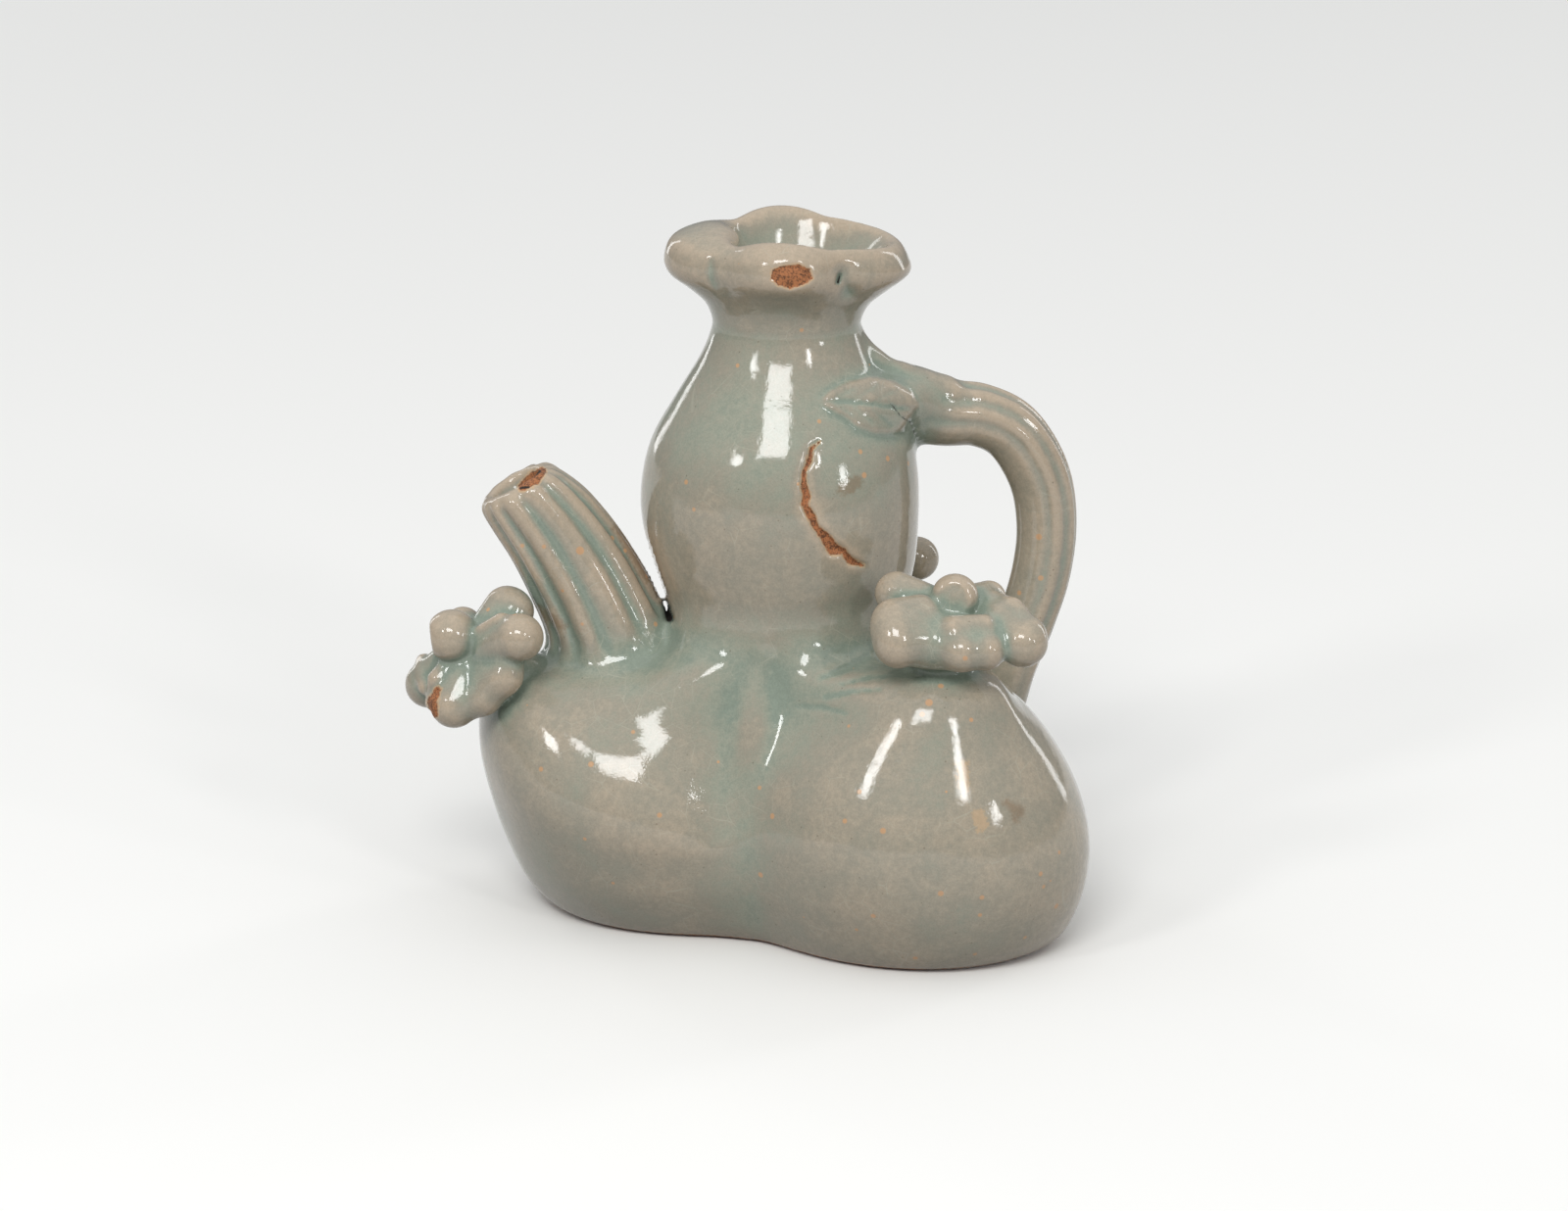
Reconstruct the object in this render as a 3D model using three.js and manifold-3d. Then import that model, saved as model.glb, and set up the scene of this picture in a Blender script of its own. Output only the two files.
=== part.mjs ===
// Water dropper: three hollow fruits under a pear-shaped bulb, with a lobed mouth, fluted spout,
// ridged loop handle, three flowers and two low-relief leaves.
// Millimetres, +Z up, origin on the floor under the bulb's axis. The spout points to -X, the handle to +X.
import * as THREE from "three";
import { mergeVertices } from "three/addons/utils/BufferGeometryUtils.js";
import Module from "manifold-3d";

const wasm = await Module();
wasm.setup();

// Joints and walls
const luteGap = 0.3;
const lobeWall = 3;
const bulbWall = 3;
const slabThickness = 3;

// Three fruits
const waistHeight = 36;
const waistRadius = 14.4;
const leftLobeReach = 38.9;
const frontLobeReach = 42.9;
const backLobeReach = 41.5;
const frontValleyReach = 23.2;
const handleValleyReach = 28.6;
const rearValleyReach = 24.5;

// Upper bulb, neck and mouth
const bulbHeight = 35;
const bulbRadius = 17.5;
const bulbDrift = -0.85;
const neckJointRadius = 10.9;
const neckRadius = 9.3;
const throatRadius = 6;
const mouthHeight = 16.7;
const mouthReach = 15.35;
const mouthNotchReach = 12.2;
const mouthDrift = 0.05;

// Spout
const spoutReach = 34.4;
const spoutRise = 19.2;
const spoutTipRadius = 4.7;
const spoutFootRadius = 7.4;
const spoutBow = 1.9;
const spoutTipBore = 2.5;
const spoutFootBore = 4.2;
const spoutFluteDepth = 0.35;
const spoutFlutes = 13;

// Handle
const handleReach = 33.5;
const handleRadius = 4.1;
const handleRidge = 0.22;
const handleFlare = 0.35;

// Leaves pressed on at the handle's root
const leafLength = 13.5;
const leafWidth = 6;
const leafSink = 0.7;
const leafProud = 0.5;

// Flowers
const flowerReach = 10.8;
const petalThickness = 5.6;
const petalDroop = 1;
const buttonRadius = 3.1;
const buttonRise = 5.8;
const stalkSink = 1.5;
const buttonDish = 0.35;

// Number of faces
const sectorSteps = 17;
const wallSteps = 14;
const bulbSegments = 28;
const mouthSegments = 36;

const degrees = Math.PI / 180;
const luteHeight = slabThickness + luteGap / 2;
const overrun = 2 * lobeWall;

const fired = { roughness: 0.12, metalness: 0 };
const glaze = new THREE.MeshStandardMaterial({ color: 0xa9b3a4, ...fired });
const glazeWarm = new THREE.MeshStandardMaterial({ color: 0xb0aa98, ...fired });
const bareClay = new THREE.MeshStandardMaterial({ color: 0x9a8a74, roughness: 0.7, metalness: 0 });

// Valleys between the fruits: azimuth at the foot and at the waist
const valleys = {
  front: { foot: -112 * degrees, waist: -103 * degrees, reach: frontValleyReach },
  handle: { foot: 6 * degrees, waist: 6 * degrees, reach: handleValleyReach },
  rear: { foot: 122 * degrees, waist: 122 * degrees, reach: rearValleyReach },
};

// Outlines as shares: [reach beyond the waist, height up to the waist], from the floor to the waist
const leftFruitShares = [
  [0.66, 0], [0.77, 0], [0.86, 0.222], [0.947, 0.417], [0.996, 0.597], [0.985, 0.745],
  [0.9, 0.866], [0.69, 0.905], [0.435, 0.911], [0.208, 0.914], [0.065, 0.939], [0, 1],
];
const frontFruitShares = [
  [0.818, 0], [0.92, 0], [0.99, 0.236], [0.996, 0.403], [0.93, 0.597], [0.81, 0.77],
  [0.66, 0.92], [0.5, 1.015], [0.35, 0.985], [0.18, 0.935], [0.057, 0.941], [0, 1],
];
const backFruitShares = [
  [0.83, 0], [0.92, 0], [0.992, 0.236], [0.996, 0.403], [0.913, 0.597], [0.778, 0.75],
  [0.63, 0.855], [0.485, 0.92], [0.328, 0.93], [0.169, 0.915], [0.057, 0.941], [0, 1],
];
const valleyShares = [
  [0.45, 0], [0.68, 0], [0.94, 0.236], [1, 0.403], [0.94, 0.556], [0.78, 0.681],
  [0.58, 0.778], [0.4, 0.85], [0.25, 0.897], [0.135, 0.931], [0.052, 0.961], [0, 1],
];

// Each fruit's crest turns a little from its foot to the waist
const lobes = [
  { name: "lobe_left", foot: -189 * degrees, waist: -162 * degrees, reach: leftLobeReach, shares: leftFruitShares,
    from: { ...valleys.rear, foot: valleys.rear.foot - 360 * degrees, waist: valleys.rear.waist - 360 * degrees },
    to: valleys.front },
  { name: "lobe_front", foot: -38 * degrees, waist: -58 * degrees, reach: frontLobeReach, shares: frontFruitShares,
    from: valleys.front, to: valleys.handle },
  { name: "lobe_back", foot: 60 * degrees, waist: 66 * degrees, reach: backLobeReach, shares: backFruitShares,
    from: valleys.handle, to: valleys.rear },
];

const mix = (a, b, share) => a + (b - a) * share;
const clamp = (value, low, high) => Math.min(Math.max(value, low), high);
const smooth = (share) => share * share * (3 - 2 * share);

// 1 on a lobe's crest, 0 in the valley at either side, with a soft valley floor
function lobeWeight(share, softness) {
  const swell = Math.cos(Math.PI / 2 * clamp(share, -1, 1));
  return (Math.hypot(swell, softness) - softness) / (Math.hypot(1, softness) - softness);
}

function outline(shares, reach) {
  const rows = shares.map(([out, up]) => new THREE.Vector2(mix(waistRadius, reach, out), up * waistHeight));
  rows[1].y = luteHeight;
  return new THREE.SplineCurve(rows);
}

for (const valley of Object.values(valleys)) {
  valley.curve = outline(valleyShares, valley.reach);
}
for (const lobe of lobes) {
  lobe.curve = outline(lobe.shares, lobe.reach);
  lobe.from.curve = outline(valleyShares, lobe.from.reach);
}

// Share of the outline at which the walls start, above the slab
const luteShare = 1 / (valleyShares.length - 1);
const azimuthAt = (line, share) => mix(line.foot, line.waist, share);
const valleySoftness = 0.28;
// A fruit narrows towards its foot, and near its top it draws in to the seat of its flower
const footSpreadShare = 0.2;
const footGather = 0.4;
const seatShare = 0.64;
const seatSpreadShare = 0.13;
const seatGather = 0.8;
const bell = (share, spread) => Math.exp(-((share / spread) ** 2));

// Radius and height of one fruit's skin at an azimuth, for a share of the way from floor to waist
function fruitSkin(lobe, azimuth, share) {
  const crest = azimuthAt(lobe, share);
  const side = azimuth < crest ? lobe.from : lobe.to;
  const gather = 1 + footGather * bell(share, footSpreadShare) + seatGather * bell(share - seatShare, seatSpreadShare);
  const weight = lobeWeight((azimuth - crest) / (azimuthAt(side, share) - crest), valleySoftness) ** gather;
  return side.curve.getPoint(share).lerp(lobe.curve.getPoint(share), weight);
}

function lobeAt(azimuth, share) {
  let turned = azimuth;
  const start = azimuthAt(lobes[0].from, share);
  while (turned < start) turned += 360 * degrees;
  while (turned >= start + 360 * degrees) turned -= 360 * degrees;
  const lobe = lobes.find((one) => turned <= azimuthAt(one.to, share)) ?? lobes[2];
  return { lobe, turned };
}

const polar = (radius, azimuth, height) =>
  new THREE.Vector3(radius * Math.cos(azimuth), radius * Math.sin(azimuth), height);

function skinPoint(lobe, azimuth, share) {
  const at = fruitSkin(lobe, azimuth, share);
  return polar(at.x, azimuth, at.y);
}

// Outward normal of a surface given as a function of two numbers
function normalOf(surface, a, b, step) {
  const along = surface(a + step, b).sub(surface(a - step, b));
  const across = surface(a, b + step).sub(surface(a, b - step));
  return along.cross(across).normalize();
}

function skinNormal(lobe, azimuth, share) {
  const step = 1e-3;
  const inside = clamp(share, step, 1 - step);
  return normalOf((a, s) => skinPoint(lobe, a, s), azimuth, inside, step);
}

// One closed solid from a row of equal rings of points, either closed on itself or with two flat ends
const seenFromAbove = (point) => new THREE.Vector2(point.x, point.y);
const seenUpright = (point) => new THREE.Vector2(Math.hypot(point.x, point.y), point.z);

function loft(rings, { closed = false, capPlane = seenFromAbove } = {}) {
  const count = rings[0].length;
  const positions = rings.flat().flatMap((point) => [point.x, point.y, point.z]);
  const faces = [];
  const last = closed ? rings.length : rings.length - 1;
  for (let row = 0; row < last; row += 1) {
    const next = (row + 1) % rings.length;
    for (let i = 0; i < count; i += 1) {
      const j = (i + 1) % count;
      faces.push(row * count + i, next * count + i, next * count + j);
      faces.push(row * count + i, next * count + j, row * count + j);
    }
  }
  if (!closed) {
    const ends = [[0, false], [rings.length - 1, true]];
    for (const [row, reverse] of ends) {
      const flat = rings[row].map(capPlane);
      const turning = Math.sign(THREE.ShapeUtils.area(flat));
      for (const [a, b, c] of THREE.ShapeUtils.triangulateShape(flat, [])) {
        const sameWay = Math.sign(THREE.ShapeUtils.area([flat[a], flat[b], flat[c]])) === turning;
        const face = [a, b, c].map((i) => row * count + i);
        faces.push(...(sameWay === reverse ? face.reverse() : face));
      }
    }
  }
  const geometry = new THREE.BufferGeometry();
  geometry.setAttribute("position", new THREE.Float32BufferAttribute(positions, 3));
  geometry.setIndex(faces);
  return geometry;
}

function toSolid(geometry) {
  const bare = geometry.clone();
  bare.deleteAttribute("normal");
  bare.deleteAttribute("uv");
  const merged = mergeVertices(bare, 1e-4);
  const mesh = new wasm.Mesh({
    numProp: 3,
    vertProperties: new Float32Array(merged.attributes.position.array),
    triVerts: new Uint32Array(merged.index.array),
  });
  const solid = new wasm.Manifold(mesh);
  return solid.volume() < 0 ? flipped(merged) : solid;
}

function flipped(merged) {
  const mesh = new wasm.Mesh({
    numProp: 3,
    vertProperties: new Float32Array(merged.attributes.position.array),
    triVerts: new Uint32Array([...merged.index.array].reverse()),
  });
  return new wasm.Manifold(mesh);
}

function toGeometry(solid) {
  const mesh = solid.getMesh();
  const geometry = new THREE.BufferGeometry();
  geometry.setAttribute("position", new THREE.Float32BufferAttribute(mesh.vertProperties, 3));
  geometry.setIndex([...mesh.triVerts]);
  geometry.computeVertexNormals();
  return geometry;
}

const steps = (count) => Array.from({ length: count + 1 }, (_, i) => i / count);
const turns = (count) => Array.from({ length: count }, (_, i) => i / count * 360 * degrees);

// The inner face of a wall lies one wall inside its skin, measured in the upright plane
function insetPoint(at, normal, azimuth, thickness) {
  const outward = normal.x * Math.cos(azimuth) + normal.y * Math.sin(azimuth);
  const scale = thickness / (outward * outward + normal.z * normal.z);
  return new THREE.Vector2(at.x - outward * scale, at.y - normal.z * scale);
}

// One fruit's wall, from the slab to the waist and from valley to valley
function lobeGeometry(lobe) {
  const low = luteHeight + luteGap / 2;
  const high = waistHeight - luteGap / 2;
  const rings = steps(sectorSteps).map((across) => {
    const outer = [];
    const inner = [];
    for (const up of steps(wallSteps)) {
      const share = mix(luteShare, 1, up);
      const start = azimuthAt(lobe.from, share) + luteGap / 2 / waistRadius;
      const end = azimuthAt(lobe.to, share) - luteGap / 2 / waistRadius;
      const azimuth = mix(start, end, across);
      const at = fruitSkin(lobe, azimuth, share);
      const inset = insetPoint(at, skinNormal(lobe, azimuth, share), azimuth, lobeWall);
      const atEnd = up === 0 || up === 1;
      const level = up === 0 ? low : high;
      outer.push(polar(at.x, azimuth, atEnd ? level : clamp(at.y, low, high)));
      inner.push(polar(inset.x, azimuth, atEnd ? level : clamp(inset.y, low + luteGap, high - luteGap)));
    }
    return [...outer, ...inner.reverse()];
  });
  return loft(rings, { capPlane: seenUpright });
}

// The three fruits as one full solid, with its skin moved out by a clearance, for cutting what sits on it
function fruitsSolid(clearance) {
  const rings = steps(2 * wallSteps).map((share) =>
    turns(6 * sectorSteps / 2).map((turn) => {
      const { lobe, turned } = lobeAt(turn, share);
      const normal = skinNormal(lobe, turned, share);
      return skinPoint(lobe, turned, share).addScaledVector(normal, clearance);
    }));
  return toSolid(loft(rings));
}

function slabGeometry() {
  const levels = [0, 0.12, 0.45, 1];
  const rings = levels.map((up) =>
    turns(3 * sectorSteps).map((turn) => {
      const share = mix(0, luteShare, up);
      const { lobe, turned } = lobeAt(turn, share);
      const at = fruitSkin(lobe, turned, share);
      return polar(at.x, turned, up * slabThickness);
    }));
  return loft(rings);
}

// Upper bulb, neck and mouth. Their axis drifts a little to one side and back, as hand-built pots do
const bulbFoot = waistHeight + luteGap / 2;
const neckJoint = waistHeight + bulbHeight;
const bulbShares = [
  [0.818, 0], [0.886, 0.137], [0.958, 0.269], [1, 0.43], [0.989, 0.571], [0.925, 0.714], [0.8, 0.843], [0.62, 1],
];

function drift(height) {
  const toBulb = smooth(clamp((height - waistHeight) / (bulbHeight / 2), 0, 1));
  const toNeck = smooth(clamp((height - waistHeight - bulbHeight / 2) / (bulbHeight / 2), 0, 1));
  return mix(bulbDrift * toBulb, mouthDrift, toNeck);
}

function driftedPolar(radius, azimuth, height) {
  const point = polar(radius, azimuth, height);
  point.x += drift(height);
  return point;
}

function bulbCurve() {
  const rows = bulbShares.map(([out, up]) => new THREE.Vector2(out * bulbRadius, waistHeight + up * bulbHeight));
  rows[0].x = waistRadius;
  rows.at(-1).x = neckJointRadius;
  return new THREE.SplineCurve(rows);
}
const bulbSkin = bulbCurve();

function bulbGeometry() {
  const low = bulbFoot;
  const high = neckJoint - luteGap / 2;
  const ups = steps(wallSteps);
  const outer = ups.map((up) => bulbSkin.getPoint(up));
  const inner = ups.map((up) => {
    const tangent = bulbSkin.getTangent(up);
    const at = bulbSkin.getPoint(up);
    return new THREE.Vector2(at.x - tangent.y * bulbWall, at.y + tangent.x * bulbWall);
  });
  for (const row of [outer, inner]) {
    row.forEach((at) => { at.y = clamp(at.y, low, high); });
    row[0].y = low;
    row.at(-1).y = high;
  }
  const profile = [...outer, ...inner.reverse()];
  const rings = turns(bulbSegments).map((turn) => profile.map((at) => driftedPolar(at.x, turn, at.y)));
  return loft(rings, { closed: true });
}

// The bulb as one full solid, grown by a clearance
function bulbSolid(clearance) {
  const rings = steps(2 * wallSteps).map((up) => {
    const at = bulbSkin.getPoint(up);
    return turns(2 * bulbSegments).map((turn) => driftedPolar(at.x + clearance, turn, at.y));
  });
  return toSolid(loft(rings));
}

// Mouth outline as shares: [from neck radius to lip reach, from neck joint to lip top]
const lipShares = [
  [0.02, 0.34], [0.2, 0.465], [0.57, 0.59], [0.9, 0.7], [1, 0.8], [0.9, 0.915], [0.62, 0.985], [0.34, 0.985],
  [0.1, 0.91],
];
// Throat outline as shares: [from throat radius to neck radius, from neck joint to lip top]
const throatShares = [[0.8, 0.76], [0.42, 0.58], [0.1, 0.38], [0, 0.18]];
const mouthNotches = [-136, -63, 57, 125].map((angle) => angle * degrees);
const mouthCrestShares = [0.9, 1, 0.92, 1];
const lipRiseShares = [0, -0.06, 0.01, -0.01];
const lipDroopShares = [0.03, 0.11, 0, 0.06];
const lipNotchShare = 0.045;
const neckHeightShare = 0.22;
const mouthSoftness = 0.35;

function mouthProfile(azimuth) {
  let turned = azimuth;
  while (turned < mouthNotches[0]) turned += 360 * degrees;
  while (turned >= mouthNotches[0] + 360 * degrees) turned -= 360 * degrees;
  const ends = [...mouthNotches.slice(1), mouthNotches[0] + 360 * degrees];
  const index = ends.findIndex((end) => turned <= end);
  const centre = (mouthNotches[index] + ends[index]) / 2;
  const weight = lobeWeight((turned - centre) / (ends[index] - centre), mouthSoftness);
  const reach = mix(mouthNotchReach, mouthReach * mouthCrestShares[index], weight);
  const rise = mouthHeight * (1 + lipRiseShares[index] * weight - lipNotchShare * (1 - weight));
  const droop = lipDroopShares[index] * weight * mouthHeight;
  const lip = lipShares.map(([out, up]) =>
    new THREE.Vector2(mix(neckRadius, reach, out), neckJoint + up * rise - droop * out * out));
  const throat = throatShares.map(([out, up]) =>
    new THREE.Vector2(mix(throatRadius, neckRadius, out), neckJoint + up * rise));
  const low = neckJoint + luteGap / 2;
  const knots = [
    new THREE.Vector2(neckJointRadius, low),
    new THREE.Vector2(neckRadius, neckJoint + neckHeightShare * mouthHeight),
    ...lip,
    ...throat,
    new THREE.Vector2(neckJointRadius - bulbWall, low),
  ];
  return new THREE.SplineCurve(knots);
}

function mouthGeometry() {
  const count = 24;
  const rings = turns(mouthSegments).map((turn) => {
    const curve = mouthProfile(turn);
    return steps(count).map((along) => {
      const at = curve.getPoint(along);
      return driftedPolar(at.x, turn, at.y);
    });
  });
  return loft(rings, { closed: true });
}

// A bent piece in the upright plane at an azimuth: a path of [radius, height], and rings square to it
function bentRings(path, azimuth, count, sides, radiusAt) {
  const outward = polar(1, azimuth, 0);
  const sideways = new THREE.Vector3(0, 0, 1).cross(outward);
  return steps(count).map((along) => {
    const at = path.getPoint(along);
    const tangent = path.getTangent(along);
    const centre = outward.clone().multiplyScalar(at.x);
    centre.z = at.y;
    const top = outward.clone().multiplyScalar(-tangent.y);
    top.z = tangent.x;
    return turns(sides).map((turn) => {
      const radius = radiusAt(along, turn);
      return centre.clone()
        .addScaledVector(top, radius * Math.cos(turn))
        .addScaledVector(sideways, radius * Math.sin(turn));
    });
  });
}

// Spout: path from deep in the left fruit up to the cut tip
const spoutAzimuth = 180 * degrees;
const spoutTop = new THREE.Vector2(spoutReach, waistHeight + spoutRise);
const spoutRootShare = 0.58;
const spoutRoot = new THREE.Vector2(spoutRootShare * spoutReach, waistHeight - 2 * lobeWall);
const spoutLine = spoutTop.clone().sub(spoutRoot);
const spoutAcross = new THREE.Vector2(-spoutLine.y, spoutLine.x).normalize();
const spoutBowShares = [0, 0.65, 1, 0.8, 0];
const spoutPath = new THREE.SplineCurve(spoutBowShares.map((bow, i) =>
  spoutRoot.clone().addScaledVector(spoutLine, i / 4).addScaledVector(spoutAcross, bow * spoutBow)));
const spoutSwell = 0.45;
const fluteFadeShare = 1 / 6;

function spoutRadius(along, turn) {
  const taper = Math.pow(clamp(1 - along, 0, 1), spoutSwell);
  const flute = Math.sqrt(Math.abs(Math.cos(spoutFlutes * turn / 2)));
  const fade = smooth(clamp((1 - along) / fluteFadeShare, 0, 1));
  return mix(spoutTipRadius, spoutFootRadius, taper) - spoutFluteDepth * (1 - flute) * fade;
}

const boreRadius = (along) => mix(spoutFootBore, spoutTipBore, along);

function spoutBore(reachBeyond) {
  const path = new THREE.LineCurve(
    spoutRoot.clone().addScaledVector(spoutLine.clone().normalize(), -reachBeyond),
    spoutTop.clone().addScaledVector(spoutLine.clone().normalize(), reachBeyond));
  return toSolid(loft(bentRings(path, spoutAzimuth, 2, 16, boreRadius)));
}

function spoutGeometry(fruits, bulb) {
  const outer = toSolid(loft(bentRings(spoutPath, spoutAzimuth, 9, 4 * spoutFlutes, spoutRadius)));
  return toGeometry(outer.subtract(spoutBore(overrun)).subtract(fruits).subtract(bulb));
}

// Handle: from inside the bulb's shoulder, out and down to the valley between two fruits
const handleAzimuth = 5 * degrees;
const handleRootHeight = waistHeight + 0.76 * bulbHeight;
const handleFootShare = 0.42;
const handleFoot = valleys.handle.curve.getPoint(handleFootShare);
// Shares: [from the root's radius to the handle's reach, from the foot's height to the root's height]
const handleShares = [
  [-0.16, 1.07], [0.2, 1.01], [0.5, 0.995], [0.75, 0.935], [0.94, 0.8], [1, 0.65], [0.965, 0.49],
  [0.85, 0.33], [0.72, 0.18], [0.62, 0.02],
];
const handleRootRadius = bulbSkin.getPoint(0.76).x;
const handlePath = new THREE.SplineCurve(handleShares.map(([out, up]) =>
  new THREE.Vector2(mix(handleRootRadius, handleReach, out), mix(handleFoot.y, handleRootHeight, up))));

// Ridges run along the outer side only, and the coil thins towards its foot
const handleRidges = 8;
const ridgeSideShare = 0.35;
const ridgeFadeShare = 0.9;
const handleFlareShare = 0.16;
const handleTaperShare = 0.9;

function handleSection(along, turn) {
  const outerSide = smooth(clamp((ridgeSideShare + Math.cos(turn)) / ridgeFadeShare, 0, 1));
  const coil = handleRadius * mix(1, handleTaperShare, smooth(along)) + handleFlare * bell(along, handleFlareShare);
  return coil + handleRidge * Math.cos(handleRidges * turn) * outerSide;
}

function handleGeometry(fruits, bulb) {
  const coil = toSolid(loft(bentRings(handlePath, handleAzimuth, 22, 24, handleSection)));
  return toGeometry(coil.subtract(fruits).subtract(bulb));
}

// Flowers: five petals as sectors of a lobed ring about a centre button, tipped towards one azimuth
const flowers = [
  { name: "left", seatShare: 0.558, standShare: 1.05, tipAzimuth: -151 * degrees, tip: 53 * degrees, buttonTip: 0,
    petals: [[12, 0.93, 0.1], [112, 1.03, 0.2], [180, 0.95, 0], [247, 0.84, 0.1], [314, 1.05, 0]] },
  { name: "front", seatShare: 0.665, standShare: 1.32, tipAzimuth: -85 * degrees, tip: 18 * degrees,
    buttonTip: 8 * degrees,
    petals: [[16, 0.92, 0.3], [54, 1.12, -0.1], [122, 0.88, 0], [220, 0.94, 0.1], [298, 1.03, 0]] },
  { name: "back", seatShare: 0.636, standShare: 0.9, tipAzimuth: 50 * degrees, tip: 12 * degrees, buttonTip: 0,
    petals: [[-8, 1, 0.2], [66, 0.95, 0], [140, 1, -0.2], [212, 0.95, 0.1], [282, 1, 0]] },
];
const petalNames = ["petal_1", "petal_2", "petal_3", "petal_4", "petal_5"];
const petalNotchShare = 0.66;
const petalNotchThickShare = 0.55;
const petalSoftness = 0.3;
const petalRoundness = 0.85;
const petalSteps = 6;
const petalSides = 10;

function flowerFrame(flower, lobe) {
  const seat = skinPoint(lobe, azimuthAt(lobe, flower.seatShare), flower.seatShare);
  const facing = new THREE.Vector3(
    Math.sin(flower.tip) * Math.cos(flower.tipAzimuth),
    Math.sin(flower.tip) * Math.sin(flower.tipAzimuth),
    Math.cos(flower.tip));
  const downhill = new THREE.Vector3(0, 0, -1).addScaledVector(facing, facing.z).normalize();
  const level = facing.clone().cross(downhill);
  return new THREE.Matrix4().makeBasis(downhill, level, facing).setPosition(seat);
}

// One petal: rounded upright sections swept round the flower's axis between two notches
function petalGeometry(flower, index) {
  const rows = flower.petals;
  const angle = (i) => (rows[(i + rows.length) % rows.length][0] + 360 * Math.floor(i / rows.length)) * degrees;
  const centre = angle(index);
  const edges = [(angle(index - 1) + centre) / 2, (centre + angle(index + 1)) / 2];
  const [, reachShare, liftShare] = rows[index];
  const inner = buttonRadius + luteGap;
  const rings = steps(petalSteps).map((across) => {
    const raw = mix(edges[0], edges[1], across);
    const share = raw < centre ? (centre - raw) / (centre - edges[0]) : (raw - centre) / (edges[1] - centre);
    const weight = lobeWeight(share, petalSoftness);
    const reach = flowerReach * reachShare * mix(petalNotchShare, 1, weight);
    const half = petalThickness / 2 * mix(petalNotchThickShare, 1, weight);
    return turns(petalSides).map((turn) => {
      const out = (1 + Math.sign(Math.cos(turn)) * Math.pow(Math.abs(Math.cos(turn)), petalRoundness)) / 2;
      const radius = mix(inner, reach, out);
      const rise = flower.standShare * petalThickness + petalDroop * (2 * liftShare * weight - 1) * out * out;
      const nudge = luteGap / 2 / radius * (1 - 2 * across);
      return polar(radius, raw + nudge, rise + half * Math.sin(turn));
    });
  });
  return loft(rings, { capPlane: seenUpright });
}

// The button stands on a short stalk that runs down to the fruit
const buttonShares = [[0.72, 0], [1, 0.3], [1, 0.62], [0.88, 0.88], [0.62, 1]];
const stalkShare = 0.72;

function buttonGeometry(flower, clearance) {
  const foot = -flower.standShare * petalThickness - stalkSink;
  const profile = [
    new THREE.Vector2(0, foot),
    new THREE.Vector2(stalkShare * buttonRadius + clearance, foot),
    ...buttonShares.map(([out, up]) => new THREE.Vector2(out * buttonRadius + clearance, up * buttonRise)),
    new THREE.Vector2(0, buttonRise - buttonDish),
  ];
  const lathe = new THREE.LatheGeometry(profile, 16);
  lathe.rotateX(90 * degrees);
  lathe.rotateY(flower.buttonTip);
  lathe.translate(0, 0, flower.standShare * petalThickness);
  return lathe;
}

// Leaves: pressed into the bulb's skin beside the handle's upper root, one on each side
const leaves = [
  { name: "leaf_front", azimuth: -43 * degrees, along: 1 },
  { name: "leaf_back", azimuth: 53 * degrees, along: -1 },
];
const leafHeightShare = 0.885;
const leafFallShare = -0.1;
const leafTipShare = 0.03;
const leafRoundness = 0.8;

function leafGeometry(leaf, clearance) {
  const bulbShareAt = (height) => clamp((height - waistHeight) / bulbHeight, 0, 1);
  const rings = steps(9).map((along) => {
    const swell = Math.sin(Math.PI * mix(leafTipShare, 1 - leafTipShare, along)) ** leafRoundness;
    const breadth = swell * leafWidth / 2 + clearance;
    const run = (along - 0.5) * (leafLength + 2 * clearance);
    const middle = waistHeight + leafHeightShare * bulbHeight + leafFallShare * run;
    return turns(8).map((turn) => {
      const across = Math.cos(turn) * breadth;
      const height = middle + across;
      const skin = bulbSkin.getPoint(bulbShareAt(height)).x;
      const depth = Math.sin(turn) > 0 ? leafProud + clearance : leafSink + clearance;
      const radius = skin + Math.sin(turn) * depth;
      return driftedPolar(radius, leaf.azimuth + leaf.along * run / skin, height);
    });
  });
  return loft(rings, { capPlane: seenUpright });
}

const dropper = new THREE.Group();

function addPiece(name, geometry, material, frame = null) {
  if (!geometry.attributes.normal) geometry.computeVertexNormals();
  const mesh = new THREE.Mesh(geometry, material);
  mesh.name = name;
  if (frame) mesh.applyMatrix4(frame);
  dropper.add(mesh);
}

function spoutCutter() {
  const grown = (along, turn) => spoutRadius(along, turn) + luteGap;
  return toSolid(loft(bentRings(spoutPath, spoutAzimuth, 9, 4 * spoutFlutes, grown)));
}

const fruitsCutter = fruitsSolid(luteGap);
const bulbCutter = bulbSolid(luteGap);
const leafCutters = leaves.map((leaf) => toSolid(leafGeometry(leaf, luteGap)));

addPiece("base_slab", toGeometry(toSolid(slabGeometry())), bareClay);
for (const lobe of lobes) {
  const wall = toSolid(lobeGeometry(lobe));
  addPiece(lobe.name, toGeometry(lobe.name === "lobe_left" ? wall.subtract(spoutBore(overrun)) : wall), glaze);
}
const bulbWallSolid = toSolid(bulbGeometry());
addPiece("upper_bulb", toGeometry(leafCutters.reduce((wall, cutter) => wall.subtract(cutter), bulbWallSolid)), glaze);
addPiece("neck_mouth", toGeometry(toSolid(mouthGeometry())), glaze);
addPiece("spout", spoutGeometry(fruitsCutter, bulbCutter), glazeWarm);

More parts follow.
